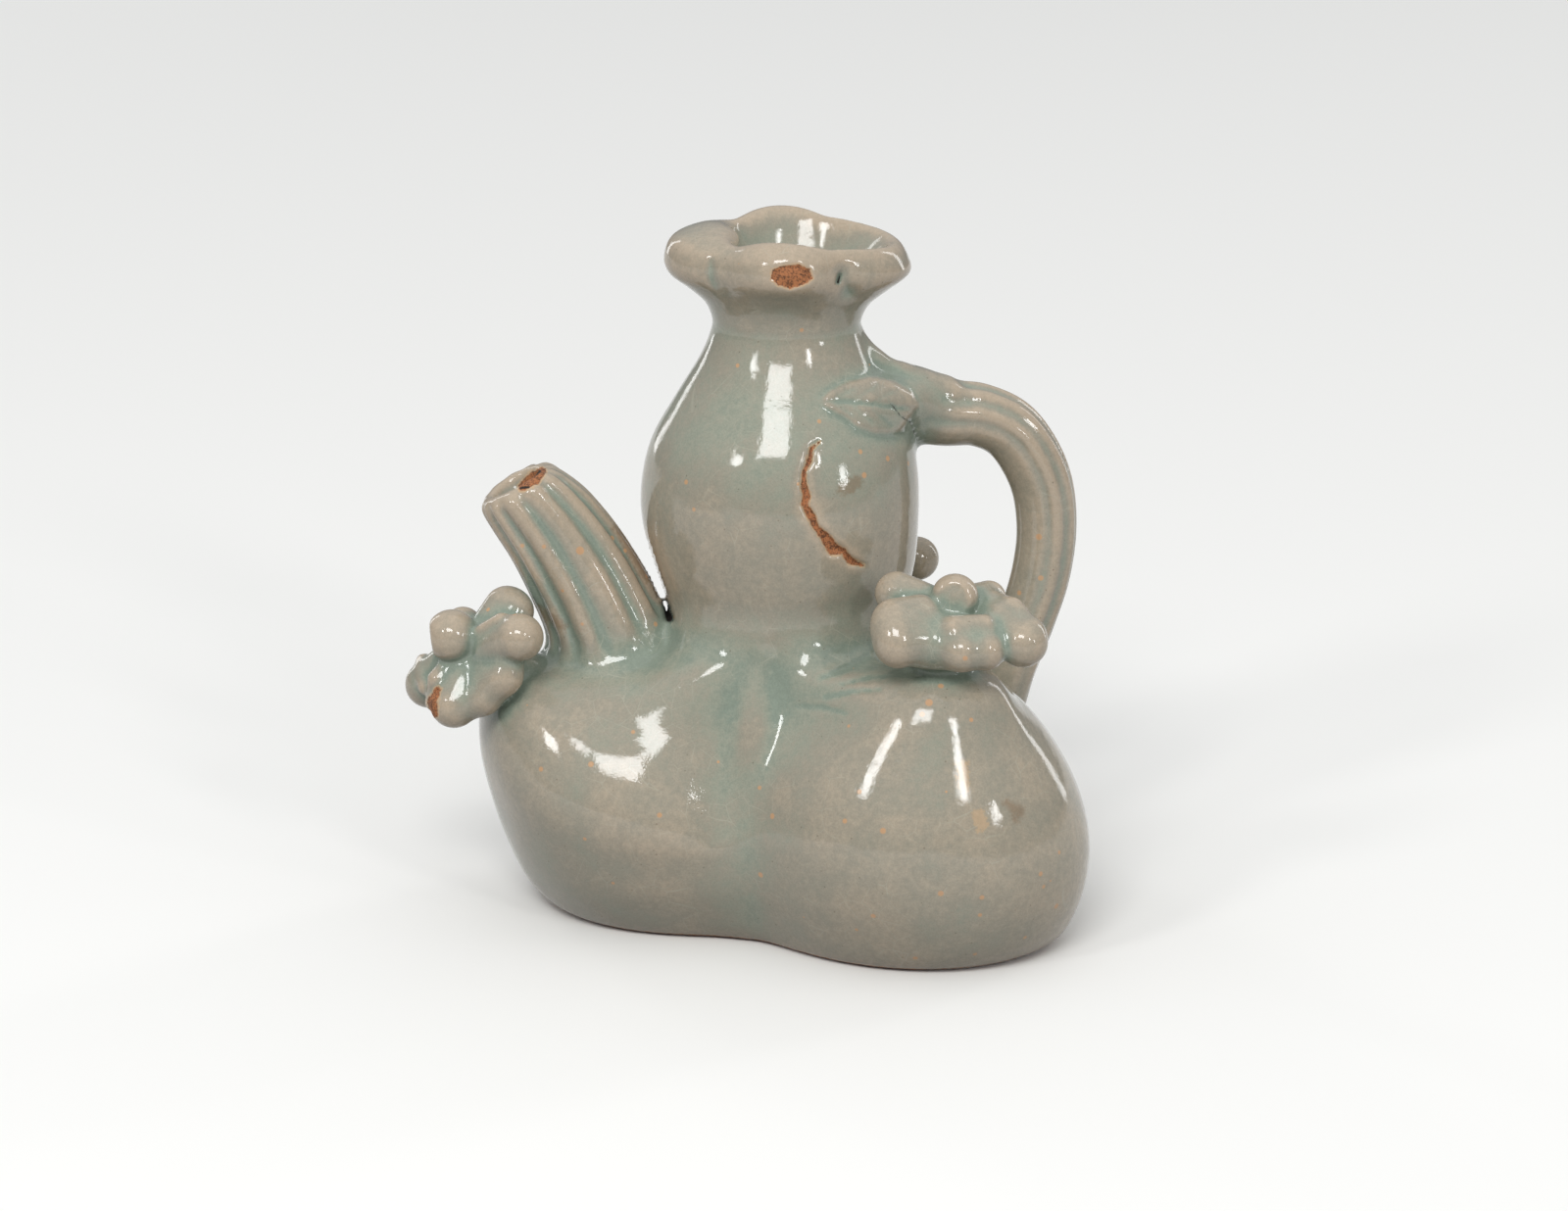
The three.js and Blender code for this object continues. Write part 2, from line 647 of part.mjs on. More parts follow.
let handleSolid = toSolid(handleGeometry(fruitsCutter, bulbCutter));
for (const cutter of leafCutters) handleSolid = handleSolid.subtract(cutter);
addPiece("handle", toGeometry(handleSolid), glazeWarm);
for (const leaf of leaves) addPiece(leaf.name, toGeometry(toSolid(leafGeometry(leaf, 0))), glazeWarm);

const grownSpout = spoutCutter();
flowers.forEach((flower, which) => {
  const frame = flowerFrame(flower, lobes[which]);
  const placed = (geometry) =>
    toSolid(geometry.clone().applyMatrix4(frame)).subtract(fruitsCutter).subtract(grownSpout).subtract(bulbCutter);
  const grownButton = placed(buttonGeometry(flower, luteGap));
  petalNames.forEach((petal, index) => {
    const solid = placed(petalGeometry(flower, index)).subtract(grownButton);
    addPiece(`${flower.name}_${petal}`, toGeometry(solid), glazeWarm);
  });
  addPiece(`${flower.name}_button`, toGeometry(placed(buttonGeometry(flower, 0))), glazeWarm);
});

export default dropper;
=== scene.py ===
# Glazed water dropper: three hollow fruits, pear-shaped bulb with a lobed mouth, fluted spout, ridged loop
# handle, applied flowers and leaves. Shapes are worked out as distance fields in millimetres, so that the
# luted joints melt together under the glaze, and are then meshed piece by piece and placed in metres.
import math

import bpy
import numpy as np
import openvdb as vdb
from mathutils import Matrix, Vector


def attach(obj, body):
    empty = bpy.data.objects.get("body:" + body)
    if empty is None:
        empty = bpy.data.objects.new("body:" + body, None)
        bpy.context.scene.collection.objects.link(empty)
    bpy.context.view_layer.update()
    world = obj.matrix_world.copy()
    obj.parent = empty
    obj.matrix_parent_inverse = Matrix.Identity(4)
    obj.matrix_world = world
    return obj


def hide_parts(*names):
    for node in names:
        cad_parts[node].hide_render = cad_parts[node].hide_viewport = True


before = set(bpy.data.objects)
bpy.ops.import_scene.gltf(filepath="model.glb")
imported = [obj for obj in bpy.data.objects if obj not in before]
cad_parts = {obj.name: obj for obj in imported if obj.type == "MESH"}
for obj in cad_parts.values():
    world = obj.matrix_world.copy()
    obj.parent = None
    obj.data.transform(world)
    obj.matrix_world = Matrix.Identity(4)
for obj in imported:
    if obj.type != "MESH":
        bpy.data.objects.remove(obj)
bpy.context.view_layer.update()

MM = 0.001
DEG = math.pi / 180
UPRIGHT = np.eye(3)
# Coarse grid's step in millimetres, and reach of the distance fields in steps
COARSE = 0.4
BAND = 16
SMALL = 1e-9


# Small numeric helpers

def mix(a, b, share):
    return a + (b - a) * share


def smooth(share):
    share = np.clip(share, 0, 1)
    return share * share * (3 - 2 * share)


def bell(value, spread):
    return np.exp(-((value / spread) ** 2))


def length_of(vectors):
    return np.linalg.norm(vectors, axis=-1, keepdims=True)


def taps(w):
    """Weights of four neighbours for a point at a share between the middle two."""
    return (-0.5 * w**3 + w**2 - 0.5 * w, 1.5 * w**3 - 2.5 * w**2 + 1,
            -1.5 * w**3 + 2 * w**2 + 0.5 * w, 0.5 * w**3 - 0.5 * w**2)


def spline(rows, along):
    """Points on an even Catmull-Rom curve through the rows."""
    rows = np.asarray(rows, float)
    last = len(rows) - 1
    at = np.clip(along, 0, 1) * last
    index = np.minimum(at.astype(int), last - 1)
    weights = taps((at - index)[..., None])
    return sum(tap * rows[np.clip(index - 1 + k, 0, last)] for k, tap in enumerate(weights))


def join(a, b, soft):
    """Union of two fields with a soft fillet."""
    near = np.clip(soft - np.abs(a - b), 0, None)
    return np.minimum(a, b) - near * near / (4 * soft)


def remove(a, b, soft):
    return -join(-a, b, soft)


def common(a, b, soft):
    return -join(-a, -b, soft)


def direction(azimuth, elevation):
    """Unit vector at two angles in degrees."""
    azimuth, elevation = azimuth * DEG, elevation * DEG
    level = math.cos(elevation)
    return np.array([math.cos(azimuth) * level, math.sin(azimuth) * level, math.sin(elevation)])


# Camera at the photograph's viewing angle. Marks are placed by pixels of the photograph

AZIMUTH, ELEVATION, DISTANCE = -5, 17, 610
LENS, SENSOR = 110.6, 36
PHOTO_WIDTH, PHOTO_HEIGHT = 1600, 1236
FOCAL = LENS / SENSOR * PHOTO_WIDTH
# Size of a pixel at the object, in millimetres
PIXEL = 0.122
TARGET = np.array([-0.37, 0.03, 38.58])
BACK = direction(AZIMUTH - 90, ELEVATION)
RIGHT = direction(AZIMUTH, 0)
UP = np.cross(BACK, RIGHT)
EYE = TARGET + BACK * DISTANCE


def pixels(x, y, z):
    """Where points show in the photograph."""
    d = (x - EYE[0], y - EYE[1], z - EYE[2])
    behind, across, rise = (d[0] * axis[0] + d[1] * axis[1] + d[2] * axis[2] for axis in (BACK, RIGHT, UP))
    return PHOTO_WIDTH / 2 - FOCAL * across / behind, PHOTO_HEIGHT / 2 + FOCAL * rise / behind


def gap_of(px, py, shape):
    """Millimetres from a path of pixels [x, y, half width] or an outline of [x, y], below zero on it."""
    outlined = len(shape[0]) == 2
    rows = [(*corner, 0) for corner in shape + shape[:1]] if outlined else shape
    gap, inside = np.inf, False
    for (x, y, wide), (x2, y2, wide2) in zip(rows, rows[1:]):
        run, fall = x2 - x, y2 - y
        share = np.clip(((px - x) * run + (py - y) * fall) / (run * run + fall * fall), 0, 1)
        here = np.hypot(px - x - share * run, py - y - share * fall) - mix(wide, wide2, share)
        gap = np.minimum(gap, here)
        if outlined:
            crosses = ((y > py) != (y2 > py)) & (px < x + run * (py - y) / (fall or SMALL))
            inside = inside ^ crosses
    return np.where(inside, -gap, gap) * PIXEL


# Grids of sample points

class Grid:
    def __init__(self, low, high, voxel):
        self.voxel = voxel
        self.first = np.floor(np.array(low) / voxel).astype(int)
        self.shape = tuple((np.ceil(np.array(high) / voxel).astype(int) - self.first + 1).tolist())

    def axis(self, i):
        return (self.first[i] + np.arange(self.shape[i])) * self.voxel

    def points(self):
        return np.meshgrid(*(self.axis(i) for i in range(3)), indexing="ij", sparse=True)

    def within(self, low, high, margin=0):
        """The part of a box that this grid holds."""
        low = np.maximum(low, [self.axis(i)[0] + margin for i in range(3)])
        return low, np.minimum(high, [self.axis(i)[-1] - margin for i in range(3)])

    def window(self, low, high, margin=2):
        """Slices of this grid that cover a box."""
        start = np.maximum((np.array(low) / self.voxel).astype(int) - self.first - margin, 0)
        stop = np.minimum((np.array(high) / self.voxel).astype(int) - self.first + margin + 1, self.shape)
        return tuple(slice(*ends) for ends in zip(start.tolist(), stop.tolist()))


def cubic_weights(count, at):
    weights = np.zeros((len(at), count), np.float32)
    index = np.clip(np.floor(at).astype(int), 1, count - 3)
    for k, tap in enumerate(taps(at - index)):
        weights[np.arange(len(at)), index - 1 + k] += tap
    return weights


def weighted(field, weights, i):
    return np.moveaxis(np.tensordot(weights, field, axes=(1, i)), 0, i)


def resample(field, source, target):
    """A field on one grid, worked out smoothly on a finer one inside it."""
    ends = [[target.axis(i)[end] for i in range(3)] for end in (0, -1)]
    for i, part in enumerate(source.window(*ends, 3)):
        at = target.axis(i) / source.voxel - source.first[i] - part.start
        field = np.take(field, np.arange(part.start, part.stop), axis=i)
        field = weighted(field, cubic_weights(field.shape[i], at), i)
    return np.ascontiguousarray(field, np.float32)


def blurred(field, spread):
    """Gaussian blur, with the spread in voxels."""
    reach = max(int(3 * spread), 1)
    weights = np.exp(-0.5 * (np.arange(-reach, reach + 1) / spread) ** 2)
    weights /= weights.sum()
    for i in range(3):
        padded = np.pad(field, [(reach, reach) if k == i else (0, 0) for k in range(3)], mode="edge")
        total = np.zeros_like(field)
        for k, weight in enumerate(weights):
            total += np.float32(weight) * np.take(padded, np.arange(k, k + field.shape[i]), axis=i)
        field = total
    return field


def cloud(grid, size, seed):
    """Soft random field of about -1 to 1 whose lumps are about one size across."""
    random = np.random.default_rng(seed)
    counts = [int((n - 1) * grid.voxel / size) + 5 for n in grid.shape]
    field = random.uniform(-1, 1, counts).astype(np.float32)
    for i in range(3):
        at = np.arange(grid.shape[i]) * grid.voxel / size + 1.5
        field = weighted(field, cubic_weights(counts[i], at), i)
    return field


def sample(grid, field, points):
    at = points / grid.voxel - grid.first
    index = np.clip(np.floor(at).astype(int), 0, np.array(grid.shape) - 2)
    w = np.clip(at - index, 0, 1)
    i, j, k = index.T
    u, v, t = w.T

    def level(k):
        front = mix(field[i, j, k], field[i + 1, j, k], u)
        return mix(front, mix(field[i, j + 1, k], field[i + 1, j + 1, k], u), v)

    return mix(level(k), level(k + 1), t)


def slope(grid, field, points):
    """Direction in which a field grows, at points."""
    out = np.empty_like(points)
    for i in range(3):
        step = np.zeros(3)
        step[i] = grid.voxel
        out[:, i] = sample(grid, field, points + step) - sample(grid, field, points - step)
    return out / (2 * grid.voxel)


# Lofted solids and their distance fields

def loft_faces(rows, columns, closed):
    index = np.arange(rows * columns).reshape(rows, columns)
    turned = np.roll(index, -1, 1)
    quads = np.stack([index, turned, np.roll(turned, -1, 0), np.roll(index, -1, 0)], -1)
    return (quads if closed else quads[:-1]).reshape(-1, 4)


def level_set(grid, rings, closed=False):
    """Distance field of a stack of rings, capped or closed to a ring of rings."""
    rows, columns = rings.shape[:2]
    points = rings.reshape(-1, 3)
    quads = loft_faces(rows, columns, closed)
    triangles = np.zeros((0, 3))
    if not closed:
        around = np.arange(columns)
        for start, centre in ((0, len(points)), ((rows - 1) * columns, len(points) + 1)):
            cap = [np.full(columns, centre), start + around, start + (around + 1) % columns]
            triangles = np.vstack([triangles, np.stack(cap, -1)])
        points = np.vstack([points, rings[0].mean(0), rings[-1].mean(0)])
    found = vdb.FloatGrid.createLevelSetFromPolygons(
        points.astype(np.float32), triangles=triangles.astype(np.uint32), quads=quads.astype(np.uint32),
        transform=vdb.createLinearTransform(voxelSize=grid.voxel), halfWidth=BAND)
    field = np.empty(grid.shape, np.float32)
    found.copyToArray(field, ijk=tuple(grid.first.tolist()))
    return field


def turns(count):
    return np.linspace(0, 2 * np.pi, count, endpoint=False)


def polar(radius, azimuth, height):
    return np.stack([radius * np.cos(azimuth), radius * np.sin(azimuth), height + 0 * radius], -1)


def bent_rings(path, azimuth, rows, columns, radius_at):
    """Rings square to a path of [radius, height] in the upright plane at an azimuth."""
    along = np.linspace(0, 1, rows)
    at = spline(path, along)
    tangent = np.gradient(at, axis=0)
    tangent /= length_of(tangent)
    outward = np.array([math.cos(azimuth), math.sin(azimuth), 0])
    sideways = np.array([-math.sin(azimuth), math.cos(azimuth), 0])
    centre = at[:, :1] * outward + at[:, 1:] * UPRIGHT[2]
    top = -tangent[:, 1:] * outward + tangent[:, :1] * UPRIGHT[2]
    turn = turns(columns)
    radius = radius_at(along[:, None], turn[None, :])[..., None]
    around = np.cos(turn)[:, None] * top[:, None] + np.sin(turn)[:, None] * sideways
    return centre[:, None] + radius * around


def lobe_weight(share, softness):
    """1 on a lobe's crest and 0 in the valleys at -1 and 1, which the softness rounds."""
    swell = np.cos(np.pi / 2 * np.clip(share, -1, 1))
    return (np.hypot(swell, softness) - softness) / (np.hypot(1, softness) - softness)


# The fruits: outlines as shares [reach beyond the waist, height up to the waist]

WAIST = 36
WAIST_RADIUS = 14.4
LEFT_SHARES = [
    (0.66, 0), (0.77, 0.088), (0.86, 0.222), (0.947, 0.417), (0.996, 0.597), (0.985, 0.745),
    (0.9, 0.866), (0.69, 0.905), (0.435, 0.911), (0.208, 0.914), (0.065, 0.939), (0, 1)]
FRONT_SHARES = [
    (0.818, 0), (0.92, 0.088), (0.99, 0.236), (0.996, 0.403), (0.93, 0.597), (0.81, 0.77),
    (0.66, 0.92), (0.5, 1.015), (0.35, 0.985), (0.18, 0.935), (0.057, 0.941), (0, 1)]
BACK_SHARES = [
    (0.83, 0), (0.92, 0.088), (0.992, 0.236), (0.996, 0.403), (0.913, 0.597), (0.778, 0.75),
    (0.63, 0.855), (0.485, 0.92), (0.328, 0.93), (0.169, 0.915), (0.057, 0.941), (0, 1)]
VALLEY_SHARES = [
    (0.45, 0), (0.68, 0.088), (0.93, 0.236), (1, 0.403), (0.92, 0.5), (0.78, 0.61),
    (0.61, 0.722), (0.44, 0.82), (0.28, 0.9), (0.13, 0.955), (0.05, 0.98), (0, 1)]
# Each line: azimuth at the foot, azimuth at the waist, reach, outline
VALLEYS = [(-238, -238, 24.5), (-112, -103, 23.2), (6, 6, 28.6), (122, 122, 24.5)]
FRUITS = [(-189, -162, 38.9, LEFT_SHARES), (-38, -58, 42.9, FRONT_SHARES), (60, 66, 41.5, BACK_SHARES)]
VALLEY_SOFTNESS = 0.28
# Swellings: azimuth and width of each end, outward (0) or upward (1), amount, share of the height, spread.
# The left fruit hangs in front, both shoulders are full, and the clay climbs higher up the bulb's front
HANGING = (-172, 26, -103, 16)
INNER = (-150, 25, -98, 14)
SWELLINGS = [
    (*INNER, 1, 1.5, 0.72, 0.1), (*INNER, 0, 1.2, 0.6, 0.12),
    (*HANGING, 1, -4, 0.47, 0.22), (*HANGING, 0, 0.5, 0.3, 0.16), (*HANGING, 0, -0.5, 0.62, 0.14),
    (-84, 22, -34, 12, 0, 2.6, 0.6, 0.1), (-165, 24, -38, 22, 1, 2.6, 0.9, 0.15)]


def outline(shares, reach, share):
    at = spline(shares, share)
    return np.stack([mix(WAIST_RADIUS, reach, at[..., 0]), at[..., 1] * WAIST], -1)


def fruit_skin(azimuth, share):
    """Radius and height of the fruits' skin, for degrees from the first valley to the last."""
    skin = np.zeros(azimuth.shape + (2,))
    for (foot, waist, reach, shares), low, high in zip(FRUITS, VALLEYS, VALLEYS[1:]):
        crest = mix(foot, waist, share)
        start = mix(low[0], low[1], share)
        end = mix(high[0], high[1], share)
        leading = azimuth < crest
        edge = np.where(leading, start, end)
        # The valleys are wider at the foot and at the shoulder
        gather = 1 + 0.4 * bell(share, 0.2) + 0.8 * bell(share - 0.64, 0.13)
        weight = lobe_weight((azimuth - crest) / (edge - crest), VALLEY_SOFTNESS) ** gather
        valley = outline(VALLEY_SHARES, np.where(leading, low[2], high[2]), share)
        here = mix(valley, outline(shares, reach, share), weight[..., None])
        inside = (azimuth >= start) & (azimuth <= end)
        skin[inside] = here[inside]
    for start, rising, end, falling, way, amount, height, spread in SWELLINGS:
        swollen = smooth((azimuth - start) / rising) * smooth((end - azimuth) / falling)
        skin[..., way] += amount * swollen * bell(share - height, spread)
    return skin


def fruit_rings(rows=240, columns=600):
    azimuths = np.linspace(VALLEYS[0][0], VALLEYS[-1][0], columns, endpoint=False)
    share, azimuth = np.meshgrid(np.linspace(0, 1, rows), azimuths, indexing="ij")
    skin = fruit_skin(azimuth, share)
    return polar(skin[..., 0], azimuth * DEG, skin[..., 1])


# Bulb, neck and mouth: one closed ring section, different at each azimuth

BULB_HEIGHT = 35
BULB_RADIUS = 17.5
WALL = 3
# The hollow's outline is the bulb's, drawn in by the wall and this much lower
HOLLOW_DROP = 0.6
ROOT_RADIUS, ROOT_HOLLOW_RADIUS = 13.4, 10.4
ROOT_DEPTH = 3.5
NECK_JOINT = WAIST + BULB_HEIGHT
NECK_JOINT_RADIUS = 10.9
NECK_RADIUS = 9.3
THROAT_RADIUS = 6
MOUTH_HEIGHT = 16.7
MOUTH_REACH = 15.35
NOTCH_REACH = 12.2
BULB_SHARES = [(0.818, 0), (0.886, 0.137), (0.958, 0.269), (1, 0.43), (0.989, 0.571), (0.925, 0.714),
               (0.8, 0.843)]
LIP_SHARES = [(0.02, 0.34), (0.2, 0.465), (0.57, 0.59), (0.9, 0.7), (1, 0.8), (0.9, 0.915), (0.62, 0.985),
              (0.34, 0.985), (0.1, 0.91)]
THROAT_SHARES = [(0.8, 0.76), (0.42, 0.58), (0.1, 0.38), (0, 0.18)]
NOTCHES = np.array([-136, -63, 57, 125, 224])
NOTCH_SOFTNESS = 0.35
NOTCH_DIP_SHARE = 0.045
# For the front, right, back and left lobes of the mouth
CREST_SHARES = np.array([0.9, 1, 0.92, 1])
RISE_SHARES = np.array([0.035, -0.06, 0.01, -0.01])
DROOP_SHARES = np.array([0.05, 0.035, 0, 0.05])
WEDGE_SHARES = np.array([0, 0.12, 0, -0.09])
WEDGE_START = 0.72
# The opening sits to the right, so the left lobe is thick and the right one thin
LIP_DRIFT_SHARES = (0, 0, 0, 0, 0, 0.04, 0.2, 0.32, 0.36)
THROAT_DRIFT_SHARES = (0.3, 0.15, 0, 0)
BULB_DRIFT, NECK_DRIFT = -0.85, 0.05


def drift(height):
    """The bulb leans a little to the left of the neck and the foot."""
    share = (height - WAIST) / BULB_HEIGHT
    return mix(BULB_DRIFT * smooth(2 * share), NECK_DRIFT, smooth(2 * share - 1))


def leaning(radius, azimuth, height):
    return polar(radius, azimuth, height) + drift(height)[..., None] * UPRIGHT[0]


def bulb_rows(inset, drop):
    return [(out * BULB_RADIUS - inset, WAIST + up * BULB_HEIGHT - drop) for out, up in BULB_SHARES]


def section(azimuth):
    """Closed outline of the wall at one azimuth in degrees, as [radius, height]."""
    turned = (azimuth - NOTCHES[0]) % 360 + NOTCHES[0]
    index = int(np.searchsorted(NOTCHES, turned, side="right")) - 1
    centre = (NOTCHES[index] + NOTCHES[index + 1]) / 2
    weight = lobe_weight((turned - centre) / (NOTCHES[index + 1] - centre), NOTCH_SOFTNESS)
    reach = mix(NOTCH_REACH, MOUTH_REACH * CREST_SHARES[index], weight)
    rise = MOUTH_HEIGHT * (1 + RISE_SHARES[index] * weight - NOTCH_DIP_SHARE * (1 - weight))
    droop = DROOP_SHARES[index] * weight * MOUTH_HEIGHT
    outer = [(ROOT_RADIUS, WAIST - ROOT_DEPTH), *bulb_rows(0, 0), (NECK_JOINT_RADIUS, NECK_JOINT),
             (NECK_RADIUS + 0.1, NECK_JOINT + 0.22 * MOUTH_HEIGHT)]
    aside = math.cos(azimuth * DEG)
    aside -= 0.85 * max(-aside, 0) ** 2
    wedge = WEDGE_SHARES[index] * weight / (1 - WEDGE_START)
    lip = [(mix(NECK_RADIUS, reach, out + aside * drifted),
            NECK_JOINT + (up - wedge * out * max(up - WEDGE_START, 0)) * rise - droop * out * out)
           for (out, up), drifted in zip(LIP_SHARES, LIP_DRIFT_SHARES)]
    throat = [(mix(THROAT_RADIUS, NECK_RADIUS, out + aside * drifted), NECK_JOINT + up * rise)
              for (out, up), drifted in zip(THROAT_SHARES, THROAT_DRIFT_SHARES)]
    inner = [(NECK_JOINT_RADIUS - WALL, NECK_JOINT), *bulb_rows(WALL, HOLLOW_DROP)[::-1],
             (ROOT_HOLLOW_RADIUS, WAIST - ROOT_DEPTH)]
    return spline(outer + lip + throat + inner, np.linspace(0, 1, 420))


def ring_solid(grid, columns=360):
    rings = []
    for turn in np.linspace(-180, 180, columns, endpoint=False):
        at = section(turn)
        rings.append(leaning(at[:, 0], turn * DEG, at[:, 1]))
    return level_set(grid, np.array(rings), closed=True)


def inner_bulb(grid):
    """What the bulb holds, from inside the fruits up to the neck."""
    rows = [(9.5, WAIST - 7), (ROOT_HOLLOW_RADIUS, WAIST - 3),
            *bulb_rows(WALL + 0.25, HOLLOW_DROP), (7.4, NECK_JOINT - 1), (5.6, NECK_JOINT + 1.5)]
    at = spline(rows, np.linspace(0, 1, 160))[:, None]
    turn = turns(240)[None, :]
    return level_set(grid, leaning(at[..., 0] + 0 * turn, turn, at[..., 1]))


# Spout

SPOUT_AZIMUTH = math.pi
SPOUT_TOP = np.array([33.9, 55.2])
SPOUT_ROOT = np.array([19.95, 30])
SPOUT_BOW_SHARES = (0, 0.65, 1, 0.8, 0)
SPOUT_BOW = 1.35
SPOUT_TIP_RADIUS, SPOUT_ROOT_RADIUS = 3.85, 8.05
SPOUT_FLUTES = 13
FLUTE_SHARE = 0.55
FLUTE_DEPTH = 0.55
# The bore's mouth and its direction, in the upright plane of x and z
BORE_MOUTH = (-34.4, 55.2)
BORE_AXIS = (-0.54, 0.84)
BORE_RADIUS, BORE_FLARE = 2.35, 0.9
BORE_LENGTH = 16


def spout_path(beyond):
    line = SPOUT_TOP - SPOUT_ROOT
    across = np.array([-line[1], line[0]]) / length_of(line) * SPOUT_BOW
    rows = [SPOUT_ROOT + line * i / 4 + across * share for i, share in enumerate(SPOUT_BOW_SHARES)]
    last = rows[-1] - rows[-2]
    return rows + [rows[-1] + last / length_of(last) * beyond]


def spout_field(grid):
    def radius_at(along, turn):
        # Crisp hollow flutes, steeper on one side, between rounded ridges
        phase = (SPOUT_FLUTES * turn / (2 * np.pi) + 0.35 * along + 0.3 * np.sin(2 * turn + 0.5)) % 1
        hollow = np.sin(np.pi * np.clip(phase / FLUTE_SHARE, 0, 1) ** 1.5)
        ridge = 0.3 * np.sin(np.pi * (phase - FLUTE_SHARE) / (1 - FLUTE_SHARE))
        flute = FLUTE_DEPTH * np.where(phase < FLUTE_SHARE, hollow, -ridge)
        fade = smooth((0.88 - along) * 11) * smooth((along - 0.12) * 8)
        taper = np.clip(1 - along / 0.91, 0, 1) ** 0.45
        return mix(SPOUT_TIP_RADIUS, SPOUT_ROOT_RADIUS, taper) - flute * fade

    tube = level_set(grid, bent_rings(spout_path(2.5), SPOUT_AZIMUTH, 200, 416, radius_at))
    x, y, z = grid.points()
    # The tip is worn off on a slant, and again on its right
    end = -(x + 34.4) * 0.46 + (z - 55.75) * 0.888 + 0.22 * bell(y - 1, 2.5)
    shoulder = (x + 29.2) * 0.5 + (z - 57.5) * 0.87
    return common(common(tube, end.astype(np.float32), 1.5), shoulder.astype(np.float32), 1.2)


def spout_bore(grid):
    """A slightly flat bore that flares at the mouth."""
    x, y, z = grid.points()
    x, z = x - BORE_MOUTH[0], z - BORE_MOUTH[1]
    along = x * BORE_AXIS[0] + z * BORE_AXIS[1]
    across = np.sqrt((x * BORE_AXIS[1] - z * BORE_AXIS[0] - 0.5) ** 2 + (y * 1.1) ** 2)
    bore = across - (BORE_RADIUS + BORE_FLARE * smooth((along + 2.6) / 2.6))
    return common(bore, np.broadcast_to(-along - BORE_LENGTH, grid.shape), 0.5).astype(np.float32)


# Handle

HANDLE_AZIMUTH = 5 * DEG
HANDLE_ROOT = (15.5, 62.6)
HANDLE_REACH = 33.5
HANDLE_FOOT_SHARE = 0.42
HANDLE_RADIUS = 4.05
HANDLE_SHARES = [(-0.16, 1.07), (0.2, 1.01), (0.5, 0.995), (0.75, 0.935), (0.94, 0.8), (1, 0.65),
                 (0.965, 0.49), (0.85, 0.33), (0.72, 0.18), (0.62, 0.02)]
HANDLE_RIDGES = 9
RIDGE_HEIGHT, GROOVE_DEPTH = 0.14, 0.3


def handle_field(grid):
    foot = outline(VALLEY_SHARES, VALLEYS[2][2], np.array(HANDLE_FOOT_SHARE))[1]
    path = [(mix(HANDLE_ROOT[0], HANDLE_REACH, out), mix(foot, HANDLE_ROOT[1], up))
            for out, up in HANDLE_SHARES]

    def radius_at(along, turn):
        outer_side = smooth((0.5 + np.cos(turn)) / 0.6)
        phase = np.abs((HANDLE_RIDGES * turn / (2 * np.pi) + 0.83 + 0.3 * along) % 1 - 0.5) * 2
        groove = 1 - np.clip(phase / 0.55, 0, 1) ** 1.5
        ridge = RIDGE_HEIGHT * smooth((phase - 0.4) / 0.6) - GROOVE_DEPTH * groove
        coil = HANDLE_RADIUS * mix(1, 0.9, smooth(along)) + 0.35 * bell(along, 0.16)
        return coil + ridge * outer_side * smooth((0.95 - along) * 5)

    return level_set(grid, bent_rings(path, HANDLE_AZIMUTH, 240, 360, radius_at))


def round_cone(p, a, b, ra, rb):
    """Distance to a stick with round ends of two radii. p is three arrays."""
    a, b = np.asarray(a, float), np.asarray(b, float)
    line = b - a
    length = float(line @ line)
    d = [p[i] - a[i] for i in range(3)]
    share = np.clip((d[0] * line[0] + d[1] * line[1] + d[2] * line[2]) / length, 0, 1)
    gap = np.sqrt(sum((d[i] - share * line[i]) ** 2 for i in range(3)))
    return gap - mix(ra, rb, share)


def strand_field(grid):
    """A strand of the handle's root that climbs to the neck."""
    points = grid.points()
    knots = [((8.2, -0.6, 72.6), 1.0), ((10.9, -0.8, 70.2), 1.5), ((14.2, -0.6, 67.9), 2.0),
             ((19.6, 0.6, 65.7), 2.4)]
    # Under the leaf, clay fills the corner between bulb and handle
    field = round_cone(points, (8.0, -7.4, 66.2), (16.5, 0.2, 65.2), 3.1, 3.6)
    for (a, ra), (b, rb) in zip(knots, knots[1:]):
        field = join(field, round_cone(points, a, b, ra, rb), 0.6)
    return field.astype(np.float32)


# The whole body on one coarse grid

coarse = Grid((-50, -38.8, -1.2), (40.4, 41.8, 90.8), COARSE)
# Softness of the joins
BULB_JOIN, SPOUT_JOIN, STRAND_JOIN, HANDLE_JOIN, FLOWER_JOIN = 6.2, 4.6, 1.6, 2.2, 0.9
FLOOR_THICKNESS = 3


def above(height):
    """Field of the space above a level."""
    z = coarse.points()[2]
    return np.broadcast_to(height - z, coarse.shape).astype(np.float32)


def body_field():
    fruits = level_set(coarse, fruit_rings())
    field = join(fruits, ring_solid(coarse), BULB_JOIN)
    field = join(field, join(fruits, spout_field(coarse), SPOUT_JOIN), 1.2)
    handle = join(handle_field(coarse), strand_field(coarse), STRAND_JOIN)
    field = join(field, handle, HANDLE_JOIN)
    unevenness = 0.1 * cloud(coarse, 10, 11) + 0.05 * cloud(coarse, 4.5, 12)
    # None at the foot, so that it stands flat
    field = field + unevenness * smooth(coarse.points()[2] / 6)
    hollow = np.minimum(fruits + WALL, inner_bulb(coarse))
    field = remove(field, common(hollow, above(FLOOR_THICKNESS), 0.8), 0.4)
    field = remove(field, spout_bore(coarse), 0.5)
    return blurred(common(field, above(0), 1.2), 0.6)


# Flowers: soft pinched petals that run into each other, round a pressed button

